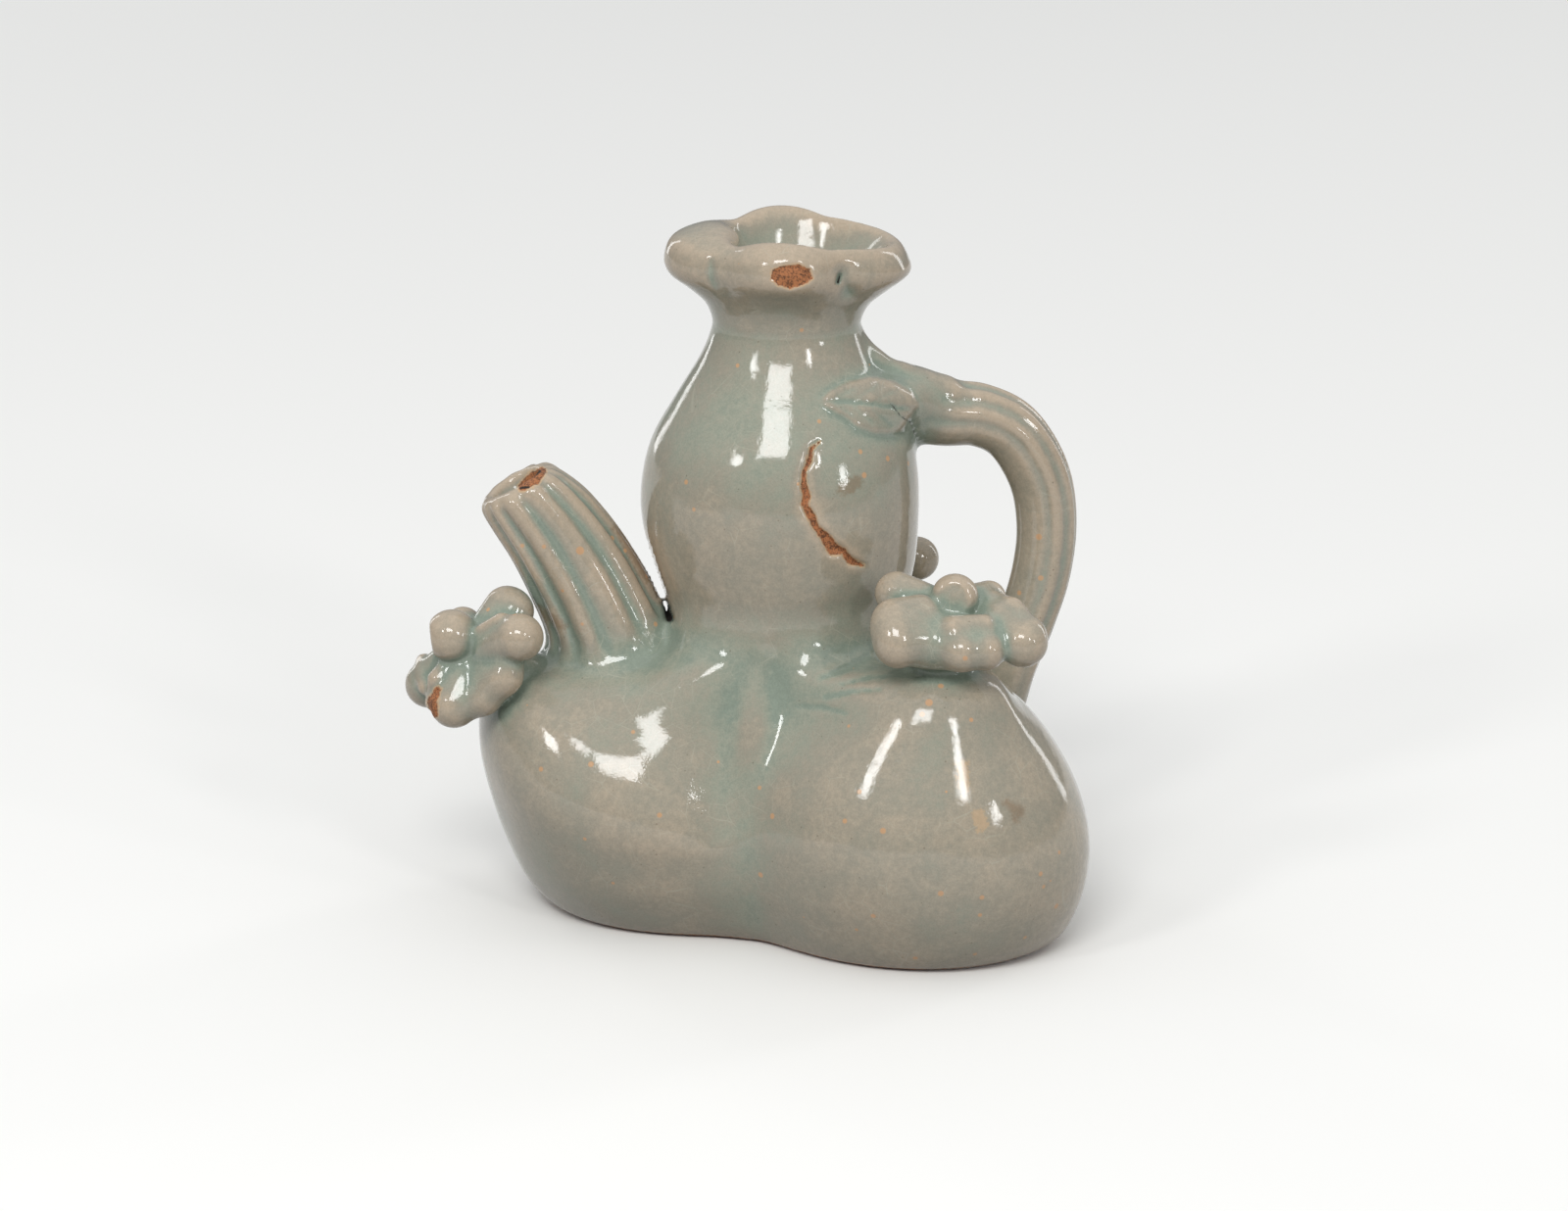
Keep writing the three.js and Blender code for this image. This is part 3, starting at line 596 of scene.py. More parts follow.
# Sticks of clay: start, end, both radii, softness of the join. In the flower's own frame, which has its axes
# downhill, level and facing, and its origin on the crest of the fruit
LEFT_STICKS = [
    ((2, 0.2, 5.8), (6.6, 0.9, 5.3), 2.6, 3, 1.2), ((1, -0.6, 8.4), (5, -0.9, 8.3), 0.9, 0.8, 1.2),
    ((5, -0.9, 8.3), (7.8, -2, 6.4), 0.8, 0.8, 1.2), ((-1.8, 3, 6.2), (-4.4, 7.2, 6.2), 2.5, 3, 1.4),
    ((-0.8, 0.8, 8.6), (-5.2, 4.9, 8.4), 0.8, 0.8, 1.2), ((2, 3.2, 4), (4.2, 3.7, 3.7), 2, 1.6, 2.4),
    ((1, 4.6, 4.2), (0.6, 6.2, 4.2), 1.8, 1.8, 2), ((-2.4, 0.2, 5.6), (-7, 0.2, 5.1), 2.9, 3, 1.2),
    ((-5, 1.6, 5), (-7.2, 1.7, 4.8), 2.4, 2, 1.5), ((2.2, -3, 6), (5.8, -6, 5.4), 2.8, 3, 1),
    ((3.6, -6.9, 7.4), (6.6, -3.2, 7.6), 0.8, 0.8, 0.9),
    ((-1.2, -2.6, 6.2), (-2.6, -5.4, 5.8), 2.4, 2.5, 1.2)]
FRONT_STICKS = [
    ((0.5, -3.2, 8.2), (1.2, -6.6, 8.3), 2.8, 2.8, 1), ((3, -2.8, 6.6), (3.6, -6.4, 6.6), 2.8, 3, 2.4),
    ((4, 0.9, 7.4), (6.2, 1, 6.9), 2.5, 2.6, 1.8), ((4, 3.2, 7.4), (6.2, 3.8, 6.9), 2.4, 2.5, 1),
    ((4.6, 0.2, 9.3), (4.4, 3.9, 9.3), 0.9, 0.9, 2), ((2.8, 6.2, 7.6), (5.4, 8.6, 7.2), 2.8, 3.1, 0.9),
    ((-1, 5, 7.6), (2, 7.2, 7.8), 2.3, 2.6, 1.2), ((-3.4, 5.2, 8.6), (1.3, 8, 9.4), 0.8, 0.8, 1.5),
    ((1.3, 8, 9.4), (4.6, 9.8, 8.6), 0.8, 0.8, 1.5), ((-2.8, -1.6, 7.8), (-5.4, -5, 7.8), 2.4, 2.7, 0.8),
    ((-2.3, 2.8, 7.8), (-3.9, 6.2, 7.4), 2.2, 2.2, 0.8)]
BACK_STICKS = [
    ((2.4, -0.6, 5.2), (6.4, -1.2, 5), 2.7, 3, 0.8), ((0.8, 2.6, 5.2), (2.8, 6.4, 5.1), 2.6, 2.9, 0.8),
    ((-2.2, 1.6, 5.2), (-5.7, 4.1, 5), 2.5, 2.8, 0.8), ((-2.2, -1.4, 5.2), (-5.5, -4.3, 5.3), 2.5, 2.8, 0.8),
    ((0.8, -2.6, 5.2), (2.2, -6.5, 5), 2.6, 2.9, 0.8)]
# web: centre, radius and half thickness of the clay between the petals
# button: centre, radius, direction of its pressed side and that side's distance
FLOWERS = {
    "left": dict(lobe=0, seat=0.558, azimuth=-151, tip=53, sticks=LEFT_STICKS,
        web=(0.6, 1.0, 4.2, 6.0, 1.8), button=((-0.6, -0.7, 9.7), 3.3, (0.6, -0.5, 0.6), 2.6)),
    "front": dict(lobe=1, seat=0.665, azimuth=-85, tip=18, sticks=FRONT_STICKS,
        web=(0.4, 0.6, 5.6, 5.8, 2.2), button=((-0.8, 1.2, 10.0), 2.9, (0.8, -0.3, 0.52), 2.05)),
    "back": dict(lobe=2, seat=0.636, azimuth=50, tip=12, sticks=BACK_STICKS,
        web=(0, 0, 4.6, 6.6, 2.2), button=((0, 0, 8.6), 2.9, (0.1, 0, 1), 2.4)),
}
# Pressed share of the button's radius, and height of the flower's middle
PRESSED_SHARE = 0.72
FLOWER_MIDDLE = 7


def flower_frame(flower):
    """Origin and three axes of a flower: downhill, level and facing."""
    foot, waist, reach, shares = FRUITS[flower["lobe"]]
    share = flower["seat"]
    crest = mix(foot, waist, share)
    at = outline(shares, reach, np.array(share))
    seat = polar(at[0], crest * DEG, at[1])
    facing = direction(flower["azimuth"], 90 - flower["tip"])
    downhill = facing * facing[2] - UPRIGHT[2]
    downhill /= length_of(downhill)
    return seat, (downhill, np.cross(facing, downhill), facing)


def local_points(grid, origin, axes):
    x, y, z = grid.points()
    return [(x - origin[0]) * a[0] + (y - origin[1]) * a[1] + (z - origin[2]) * a[2] for a in axes]


def flower_field(grid, name):
    flower = FLOWERS[name]
    p = local_points(grid, *flower_frame(flower))
    web = flower["web"]
    radius = np.sqrt((p[0] - web[0]) ** 2 + (p[1] - web[1]) ** 2)
    field = common(radius - web[3], np.abs(p[2] - web[2]) - web[4], 2.2)
    field = join(field, round_cone(p, (0, 0, -2), (0, 0, web[2]), 4.4, 3.4), 2)
    for *stick, soft in flower["sticks"]:
        field = join(field, round_cone(p, *stick), soft)
    centre, size, flat, distance = flower["button"]
    q = [p[i] - centre[i] for i in range(3)]
    flat = np.array(flat) / length_of(flat)
    square = sum(side * side for side in q)
    ahead = sum(q[i] * flat[i] for i in range(3))
    disc = np.sqrt(np.clip(square - ahead * ahead, 0, None)) - PRESSED_SHARE * size
    ball = remove(np.sqrt(square) - size, np.maximum(disc, distance - ahead), 0.3)
    field = join(field, round_cone(p, (centre[0], centre[1], 6), centre, 2.6, 2.2), 1.0)
    return join(field, ball, 0.45).astype(np.float32)


def near_flower(grid, name, reach):
    """Box in a grid that holds a flower."""
    origin, axes = flower_frame(FLOWERS[name])
    centre = origin + FLOWER_MIDDLE * axes[2]
    return grid.within(centre - reach, centre + reach)


def part_grid(grid, slices):
    part = Grid.__new__(Grid)
    part.voxel = grid.voxel
    part.first = grid.first + np.array([s.start for s in slices])
    part.shape = tuple(s.stop - s.start for s in slices)
    return part


def add_flowers(grid, field):
    for name in FLOWERS:
        slices = grid.window(*near_flower(grid, name, 16))
        field[slices] = join(field[slices], flower_field(part_grid(grid, slices), name), FLOWER_JOIN)
    return field


# Marks of making and of use, drawn in pixels of the photograph

BULB_FRONT = ((-18, -22, 34), (18, -2, 74))
LIP_FRONT = ((-6, -18, 74), (8, -10.5, 90))
LIP_HOLE = ((2, -18, 74), (12, -9, 90))
MOUTH_FRONT = ((-18, -18, 74), (18, -7.5, 90))
LEAF_SIDE = ((3, -18, 59), (21, 4, 73))
LEAF_FRONT = ((3, -18, 59), (21, -2, 73))
# A window behind takes its shapes as if in a mirror
LEAF_BACK = ((3, 2, 59), (21, 18, 73))
FRONT_SHOULDER = ((-4, -38, 22), (28, -12, 44))
FRONT_FACE = ((4, -42, 6), (36, -18, 34))
SPOUT_SIDE = ((-38, -10, 34), (-8, 8, 60))
LEFT_BLOOM = ((-50, -16, 22), (-32, 4, 44))

CRACK = [(836, 451, 0.5), (828, 458, 1.5), (826, 470, 2.5), (821, 480, 1.5), (820, 494, 3), (823, 506, 4),
         (821, 515, 3), (828, 527, 4), (833, 539, 2.5), (841, 547, 4.5), (850, 560, 6), (861, 563, 3),
         (867, 572, 3.5), (881, 577, 1)]
CHIP = [(788, 276), (800, 271), (815, 270), (826, 275), (829, 284), (821, 290), (806, 295), (794, 291),
        (787, 285)]
LEAF = [(837, 410), (848, 398), (865, 390), (891, 384), (912, 389), (930, 401), (937, 413), (928, 427),
        (921, 440), (906, 443), (891, 442), (875, 436), (861, 425), (848, 418)]
MIDRIB = [(840, 410, 1.2), (865, 410, 1.8), (901, 414, 1.8), (930, 418, 1)]
VEINS = [[(852, 408, 0.8), (872, 396, 1)], [(872, 408, 0.8), (896, 392, 1)], [(892, 410, 0.8), (917, 397, 1)],
         [(852, 413, 0.8), (870, 424, 1)], [(870, 414, 0.8), (892, 433, 1)], [(890, 417, 0.8), (911, 435, 1)]]
# Carvings: window in millimetres, path or outline, depth, softness. A depth below zero raises the clay
CARVINGS = [
    (BULB_FRONT, CRACK, 0.6, 0.5),
    (LIP_FRONT, CHIP, 0.3, 0.4),
    (LIP_HOLE, [(857, 280, 1), (855, 288, 2)], 0.8, 0.5),
    (MOUTH_FRONT, [(860, 281, 7), (865, 296, 7)], 0.6, 2.4),
    (MOUTH_FRONT, [(722, 262, 3), (727, 290, 4)], 0.3, 2),
    (LEAF_FRONT, [(906, 408, 0.5), (919, 425, 0.7), (929, 431, 0.7), (938, 455, 0.5)], 0.2, 0.3),
    (FRONT_SHOULDER, [(842, 712, 1), (868, 706, 2.5), (898, 704, 1)], 0.3, 0.7),
    (FRONT_SHOULDER, [(812, 721, 0.5), (840, 722, 2), (864, 728, 0.5)], 0.24, 0.7),
    (FRONT_SHOULDER, [(836, 693, 1), (860, 684, 3), (886, 670, 1)], 0.3, 0.8),
    (FRONT_SHOULDER, [(858, 699, 0.5), (882, 693, 2), (904, 690, 0.5)], 0.24, 0.6),
    (SPOUT_SIDE, [(655, 556, 3.5), (663, 575, 2.5), (669, 590, 1.5), (676, 608, 1)], 9, 0.5),
    (SPOUT_SIDE, [(678, 614, 1.5), (683, 631, 2.5)], 1, 0.6),
]
for side in (LEAF_SIDE, LEAF_BACK):
    CARVINGS += [(side, LEAF, -0.36, 0.6), (side, MIDRIB, 0.3, 0.6)]
    CARVINGS += [(side, vein, 0.13, 0.5) for vein in VEINS]
# Marks that the glaze shows, by kind: window, path or outline
SHOWN = {
    "bare": [
        (BULB_FRONT, CRACK), (MOUTH_FRONT, CHIP),
        (LEFT_BLOOM, [(447, 704, 3), (441, 716, 5), (443, 729, 4)]),
        (SPOUT_SIDE, [(533, 497, 4), (545, 488, 7), (553, 481, 4)])],
    # Painted shade: near black in the lip's pinhole, the pit under the spout, the spout's crater and the
    # crack by the leaf
    "dark": [
        (MOUTH_FRONT, [(857, 281, 0), (855, 288, 1)]),
        (SPOUT_SIDE, [(678, 614, 1.5), (683, 631, 3.5)]),
        (SPOUT_SIDE, [(531, 498, 1), (540, 497, 1)]), (SPOUT_SIDE, [(547, 485, 0.5), (551, 481, 1)]),
        (LEAF_SIDE, [(906, 408, 0), (919, 425, 0.4), (929, 431, 0.3), (938, 455, 0)])],
    "stain": [
        (SPOUT_SIDE, [(628, 537, 2), (645, 565, 4), (660, 590, 3)]),
        (SPOUT_SIDE, [(548, 622, 4), (575, 640, 3)]),
        (FRONT_FACE, [(1028, 820, 3), (1040, 828, 4), (1036, 836, 2)]),
        (BULB_FRONT, [(862, 500, 5), (873, 492, 6)])],
    # Paler patches on the front fruit
    "pale_patch": [
        (FRONT_FACE, [(974, 777), (988, 775), (991, 800), (983, 816), (975, 800)]),
        (FRONT_FACE, [(990, 828), (1004, 824), (1009, 845), (996, 851)])],
}
# Pinholes: radius in millimetres and pixels
PINHOLES = {
    0.2: [(574, 603), (594, 637), (866, 741), (874, 949)],
    0.25: [(555, 558), (533, 557), (498, 622), (525, 627), (687, 630), (708, 520), (836, 430), (818, 337),
           (638, 562), (660, 588), (646, 747), (775, 804), (1000, 934), (1046, 957), (1065, 905), (1081, 870),
           (995, 974)],
    0.3: [(625, 549), (669, 637), (878, 461), (927, 473), (700, 492), (1040, 605), (552, 785), (862, 838),
          (1062, 892), (985, 672), (673, 832), (877, 808), (941, 729), (1002, 916), (891, 935), (934, 978)],
    0.35: [(603, 780), (1078, 925), (906, 468), (882, 485), (1062, 590), (788, 833), (901, 848), (776, 893),
           (960, 700), (960, 912)],
    0.4: [(1060, 548)],
    0.45: [(948, 717)],
    0.5: [(592, 562)],
}


def add_carvings(grid, field):
    for (low, high), shape, depth, soft in CARVINGS:
        start, end = grid.within(low, high)
        if np.all(start < end):
            slices = grid.window(low, high)
            x, y, z = part_grid(grid, slices).points()
            px, py = pixels(x, -y if low[1] > 0 else y, z)
            field[slices] += depth * smooth(0.5 - gap_of(px, py, shape) / soft)
    return field


def on_skin(grid, field, px, py):
    """Where a pixel's sight line meets the surface."""
    ray = RIGHT * (px - PHOTO_WIDTH / 2) / FOCAL - UP * (py - PHOTO_HEIGHT / 2) / FOCAL - BACK
    ray /= np.linalg.norm(ray)
    at = EYE + ray * (DISTANCE - 60)
    for _ in range(200):
        gap = float(sample(grid, field, at[None])[0])
        if gap < 0.02:
            break
        at = at + ray * max(gap * 0.7, 0.02)
    return at.tolist()


# Meshing: quads at zero, drawn onto the exact surface. Spreads and distances in millimetres

EDGE_SPREAD, SWELL_SPREAD = 0.7, 2.0
FAR, INSIDE = 3.0, -0.15


def skin_of(grid, field):
    field = field.copy()
    for i in range(3):
        for end in (0, -1):
            edge = [slice(None)] * 3
            edge[i] = end
            field[tuple(edge)] = grid.voxel
    found = vdb.FloatGrid(float(BAND * grid.voxel))
    found.copyFromArray(field, ijk=tuple(grid.first.tolist()))
    found.transform = vdb.createLinearTransform(voxelSize=grid.voxel)
    points, quads = found.convertToQuads(0.0)
    points = points.astype(float)
    for _ in range(2):
        away = slope(grid, field, points)
        size = np.clip((away**2).sum(1), 0.1, None)
        move = sample(grid, field, points) / size
        points -= np.clip(move, -0.2, 0.2)[:, None] * away
    return points, quads


def link_object(name, data):
    obj = bpy.data.objects.new(name, data)
    bpy.context.scene.collection.objects.link(obj)
    return obj


def mesh_object(name, points, faces):
    mesh = bpy.data.meshes.new(name)
    faces = faces.tolist() if isinstance(faces, np.ndarray) else faces
    mesh.from_pydata((np.asarray(points) * MM).tolist(), [], faces)
    mesh.update()
    return link_object(name, mesh)


def prism(corners, low, high, origin=0, axes=UPRIGHT):
    """Convex prism used as a cutter, upright or in a frame of its own."""
    count = len(corners)
    points = [origin + x * axes[0] + y * axes[1] + z * axes[2] for z in (low, high) for x, y in corners]
    sides = [(i, (i + 1) % count, count + (i + 1) % count, count + i) for i in range(count)]
    caps = [tuple(reversed(range(count))), tuple(range(count, 2 * count))]
    return mesh_object("cutter", points, sides + caps)


def arc(radius, angles):
    return [(radius * math.cos(a * DEG), radius * math.sin(a * DEG)) for a in angles]


def box(low, high):
    return [low, (high[0], low[1]), high, (low[0], high[1])]


def cut(obj, cutter, operation):
    modifier = obj.modifiers.new("cut", "BOOLEAN")
    modifier.operation = operation
    modifier.solver = "MANIFOLD"
    modifier.object = cutter
    depsgraph = bpy.context.evaluated_depsgraph_get()
    mesh = bpy.data.meshes.new_from_object(obj.evaluated_get(depsgraph))
    obj.modifiers.clear()
    old = obj.data
    obj.data = mesh
    bpy.data.meshes.remove(old)


def read(items, name, width=1, kind=np.float32):
    flat = np.empty(len(items) * width, kind)
    items.foreach_get(name, flat)
    return flat.reshape(-1, width) if width > 1 else flat


def set_attribute(mesh, name, values):
    attribute = mesh.attributes.new(name, "FLOAT", "POINT")
    attribute.data.foreach_set("value", np.ascontiguousarray(values, np.float32))


def set_marks(mesh, points, away):
    """Distance from each kind of mark, on the side that the photograph shows."""
    px, py = pixels(*points.T)
    for kind, marks in SHOWN.items():
        nearest = np.full(len(points), FAR)
        for (low, high), shape in marks:
            seen = np.all((points > low) & (points < high), axis=1) & (away @ BACK > -0.1)
            nearest[seen] = np.minimum(nearest[seen], gap_of(px[seen], py[seen], shape))
        set_attribute(mesh, kind, nearest)


def set_normals(mesh, away, depth):
    """Normals from the field, so that cuts between pieces don't show. Inside the clay, from the faces."""
    flat = read(mesh.polygons, "normal", 3)
    face_of = np.repeat(np.arange(len(flat)), read(mesh.polygons, "loop_total", kind=np.int32))
    normals = away[read(mesh.loops, "vertex_index", kind=np.int32)]
    inner = (depth[face_of] < INSIDE) | ((normals * flat[face_of]).sum(1) < 0.2)
    normals[inner] = flat[face_of][inner]
    mesh.polygons.foreach_set("use_smooth", np.ones(len(flat), bool))
    mesh.normals_split_custom_set(normals.tolist())


def dress(obj, grid, field):
    """Normals, and what the glaze reads: how sharp each edge is, how full the form, and the marks."""
    mesh = obj.data
    mesh.name = obj.name
    points = read(mesh.vertices, "co", 3).astype(float) / MM
    here = sample(grid, field, points)
    for name, spread in (("edge", EDGE_SPREAD), ("swell", SWELL_SPREAD)):
        around = sample(grid, blurred(field, spread / grid.voxel), points)
        set_attribute(mesh, name, (around - here) * 2 / spread**2)
    away = slope(grid, field, points)
    away /= length_of(away) + SMALL
    set_marks(mesh, points, away)
    set_normals(mesh, away, sample(grid, field, read(mesh.polygons, "center", 3).astype(float) / MM))
    mesh.update()


# Build

body = body_field()
total = add_flowers(coarse, body.copy())

ROUND = range(0, 360, 15)
SPOUT_CUT = (-26.5, 0, 42.5)
BORE_FRAME = np.array([[BORE_AXIS[1], 0, -BORE_AXIS[0]], UPRIGHT[1], [BORE_AXIS[0], 0, BORE_AXIS[1]]])
FRUIT_ENDS = [("left_fruit", -238, -107.5), ("front_fruit", -107.5, 6), ("back_fruit", 6, 122)]
cutters = {
    "spout_tube": prism(box((-10, -10), (10, 10)), 0, 20, np.array(SPOUT_CUT), BORE_FRAME),
    "loop_handle": prism(box((18.6, -7.6), (40, 7.6)), 33, 72),
    "mouth": prism(arc(21, ROUND), NECK_JOINT, 95),
    "bulb": prism(arc(19.2, ROUND), WAIST, NECK_JOINT)}
for name, flower in FLOWERS.items():
    cutters[name + "_flower"] = prism(arc(12.6, ROUND), 2, 18, *flower_frame(flower))
for name, start, end in FRUIT_ENDS:
    cutters[name] = prism([(0, 0), *arc(75, np.linspace(start, end, 4))], -3, 60)

# name: (low, high, voxel, slot, replaced nodes, other cutters taken away)
PETAL_NODES = ["petal_1", "petal_2", "petal_3", "petal_4", "petal_5", "button"]
PIECES = {
    "left_fruit": ((-46, -26, -1), (3, 27, 48), 0.4, "glaze", ["lobe_left", "base_slab"],
        ["left_flower", "spout_tube", "bulb"]),
    "front_fruit": ((-12, -41, -1), (40, 8, 46), 0.4, "glaze", ["lobe_front"],
        ["front_flower", "loop_handle", "bulb"]),
    "back_fruit": ((-19, -3, -1), (39, 41, 44), 0.4, "glaze", ["lobe_back"],
        ["back_flower", "loop_handle", "bulb"]),
    "bulb": ((-22, -22, 33), (24, 22, 74), 0.33, "glaze", ["upper_bulb", "leaf_front", "leaf_back"],
        ["spout_tube", "loop_handle"]),
    "mouth": ((-20, -18, 68), (21, 18, 90), 0.25, "glaze", ["neck_mouth"], ["loop_handle"]),
    "spout_tube": ((-42, -10, 34), (-14, 10, 60), 0.25, "glaze_warm", ["spout"], ["left_flower"]),
    "loop_handle": ((15, -9, 29), (40, 9, 73), 0.3, "glaze_warm", ["handle"], []),
}
for name in FLOWERS:
    nodes = [f"{name}_{node}" for node in PETAL_NODES]
    PIECES[name + "_flower"] = (*near_flower(coarse, name, 15), 0.25, "glaze_warm", nodes, ["bulb"])

pieces = {}
for name, (low, high, voxel, slot, nodes, others) in PIECES.items():
    grid = Grid(*coarse.within(low, high, 2 * COARSE), voxel)
    if name.endswith("_flower"):
        flower = flower_field(grid, name.removesuffix("_flower"))
        field = join(resample(body, coarse, grid), flower, FLOWER_JOIN)
    else:
        field = resample(total, coarse, grid)
    field = add_carvings(grid, field)
    points, quads = skin_of(grid, field)
    obj = mesh_object(name, points, quads)
    cut(obj, cutters[name], "INTERSECT")
    for other in others:
        cut(obj, cutters[other], "DIFFERENCE")
    dress(obj, grid, field)
    pieces[name] = obj
    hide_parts(*nodes)
    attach(obj, "root")
for cutter in cutters.values():
    mesh = cutter.data
    bpy.data.objects.remove(cutter)
    bpy.data.meshes.remove(mesh)


# Materials

class Nodes:
    """Short names for making shader nodes from sockets and values."""

    def __init__(self, owner):
        owner.use_nodes = True
        self.tree = owner.node_tree
        self.tree.nodes.clear()

    def add(self, kind, inputs=(), **settings):
        node = self.tree.nodes.new("ShaderNode" + kind)
        for key, value in settings.items():
            setattr(node, key, value)
        for key, value in dict(inputs).items():
            if isinstance(value, bpy.types.NodeSocket):
                self.tree.links.new(value, node.inputs[key])
            else:
                node.inputs[key].default_value = value
        return node.outputs

    def math(self, operation, *values):
        return self.add("Math", enumerate(values), operation=operation)[0]

    def times(self, a, b, plus=0):
        return self.math("MULTIPLY_ADD", a, b, plus)

    def vector(self, operation, inputs):
        return self.add("VectorMath", inputs, operation=operation)

    def gap(self, value, middle):
        return self.math("ABSOLUTE", self.math("SUBTRACT", value, middle))

    def span(self, value, low, high, to_low=0, to_high=1):
        return self.add(
            "MapRange", enumerate((value, low, high, to_low, to_high)), interpolation_type="SMOOTHSTEP")[0]

    def noise(self, vector, scale, detail, roughness):
        inputs = {"Vector": vector, "Scale": scale, "Detail": detail, "Roughness": roughness}
        return self.add("TexNoise", inputs)["Fac"]

    def cells(self, vector, scale, feature="F1"):
        return self.add("TexVoronoi", {"Vector": vector, "Scale": scale, "Randomness": 1.0}, feature=feature)

    def blend(self, share, a, b):
        return self.add("Mix", {0: share, 6: a, 7: b}, data_type="RGBA")[2]

    def ramp(self, value, stops):
        node = self.tree.nodes.new("ShaderNodeValToRGB")
        self.tree.links.new(value, node.inputs[0])
        elements = node.color_ramp.elements
        elements[0].position, elements[0].color = stops[0]
        elements[1].position, elements[1].color = stops[-1]
        for position, colour in stops[1:-1]:
            elements.new(position).color = colour
        return node.outputs[0]

    def attribute(self, name):
        return self.add("Attribute", attribute_name=name)["Fac"]


def tone(red, green, blue):
    """A colour named by its usual 0 to 255 values."""
    def linear(value):
        value /= 255
        return value / 12.92 if value <= 0.04045 else ((value + 0.055) / 1.055) ** 2.4
    return (linear(red), linear(green), linear(blue), 1.0)


POOLED = tone(137, 148, 134)
PALE = tone(153, 156, 140)
BODY = tone(158, 152, 136)
THIN = tone(182, 166, 145)
BARE = tone(176, 114, 72)
BARE_DARK = tone(100, 64, 40)
RIM = tone(214, 174, 128)
SPECK = tone(206, 158, 114)
IRON = tone(92, 78, 58)
STAIN = tone(128, 96, 62)
CRAZE = tone(182, 180, 162)
# Near black for the painted shade in pits and cracks
PAINTED_SHADE = tone(34, 28, 22)

PINHOLE_PLACES = [(on_skin(coarse, total, *pixel), size) for size, dots in PINHOLES.items() for pixel in dots]
# Pools of glaze: height, reach up and down where it ends, and radius where it ends
POOLS = [(34.5, 1.0, 8.0, 22.0, 32.0), (65.0, 2.0, 12.0, 14.0, 24.0)]
# Specks: scale, channel of the chance, chance above which they show, radius, share, colour
SPECKS = [(0.3, 0, 0.84, 0.09, 0.8, SPECK), (1.1, 1, 0.7, 0.13, 0.42, IRON)]
GLAZE_IOR = 1.5


def glaze_tone(n, place, height, patch, grain, lean):
    """Glaze pools in hollows and round the waist and the neck, and runs thin on ridges."""
    ridge = n.math("MINIMUM", n.math("SUBTRACT", n.attribute("edge"), lean), 0.5)
    value = n.times(n.math("MAXIMUM", ridge, -0.6), 0.75, -0.455)
    swell = n.math("MAXIMUM", n.math("MINIMUM", n.attribute("swell"), 0.35), -0.4)
    for part, share in ((swell, 0.42), (n.noise(place, 0.045, 3, 0.6), 0.7), (patch, 0.6), (grain, 0.5)):
        value = n.times(part, share, value)
    level = n.vector("MULTIPLY", {0: place, 1: (1, 1, 0)})[0]
    radius = n.vector("LENGTH", {0: level})["Value"]
    pools = [n.times(n.span(n.gap(height, middle), full, end, 0.26, 0), n.span(radius, near, far, 1, 0))
             for middle, full, end, near, far in POOLS]
    value = n.math("SUBTRACT", value, n.math("MAXIMUM", *pools))
    return n.ramp(value, [(0.08, POOLED), (0.32, PALE), (0.56, BODY), (0.95, THIN)])


def specked(n, colour, place, patch):
    """Faint craze lines in places, orange pinholes and finer dark iron specks."""
    craze = n.cells(place, 0.32, "DISTANCE_TO_EDGE")["Distance"]
    lines = n.times(n.span(craze, 0, 0.02, 1, 0), n.span(patch, 0.48, 0.6, 0, 0.4))
    colour = n.blend(lines, colour, CRAZE)
    for scale, channel, rare, radius, share, tint in SPECKS:
        cells = n.cells(place, scale)
        odd = n.add("SeparateColor", {0: cells["Color"]})[channel]
        dot = n.math("LESS_THAN", cells["Distance"], n.span(odd, rare, 1, 0, radius))
        colour = n.blend(n.times(dot, share), colour, tint)
    return colour


def worn(n, colour, place, ragged):
    """Stains, pale patches and the larger pinholes."""
    stain = n.span(n.math("ADD", n.attribute("stain"), ragged), -0.3, 0.6, 0.45, 0)
    # Paler patches painted on the front fruit
    pale_patch = n.span(n.math("ADD", n.attribute("pale_patch"), ragged), -0.35, 0.15, 0.4, 0)
    colour = n.blend(pale_patch, n.blend(stain, colour, STAIN), RIM)
    nearest = FAR
    for spot, radius in PINHOLE_PLACES:
        away = n.vector("DISTANCE", {0: place, 1: spot})["Value"]
        nearest = n.math("MINIMUM", nearest, n.math("SUBTRACT", away, radius))
    return n.blend(n.span(nearest, -0.08, 0.1, 0.75, 0), colour, SPECK)


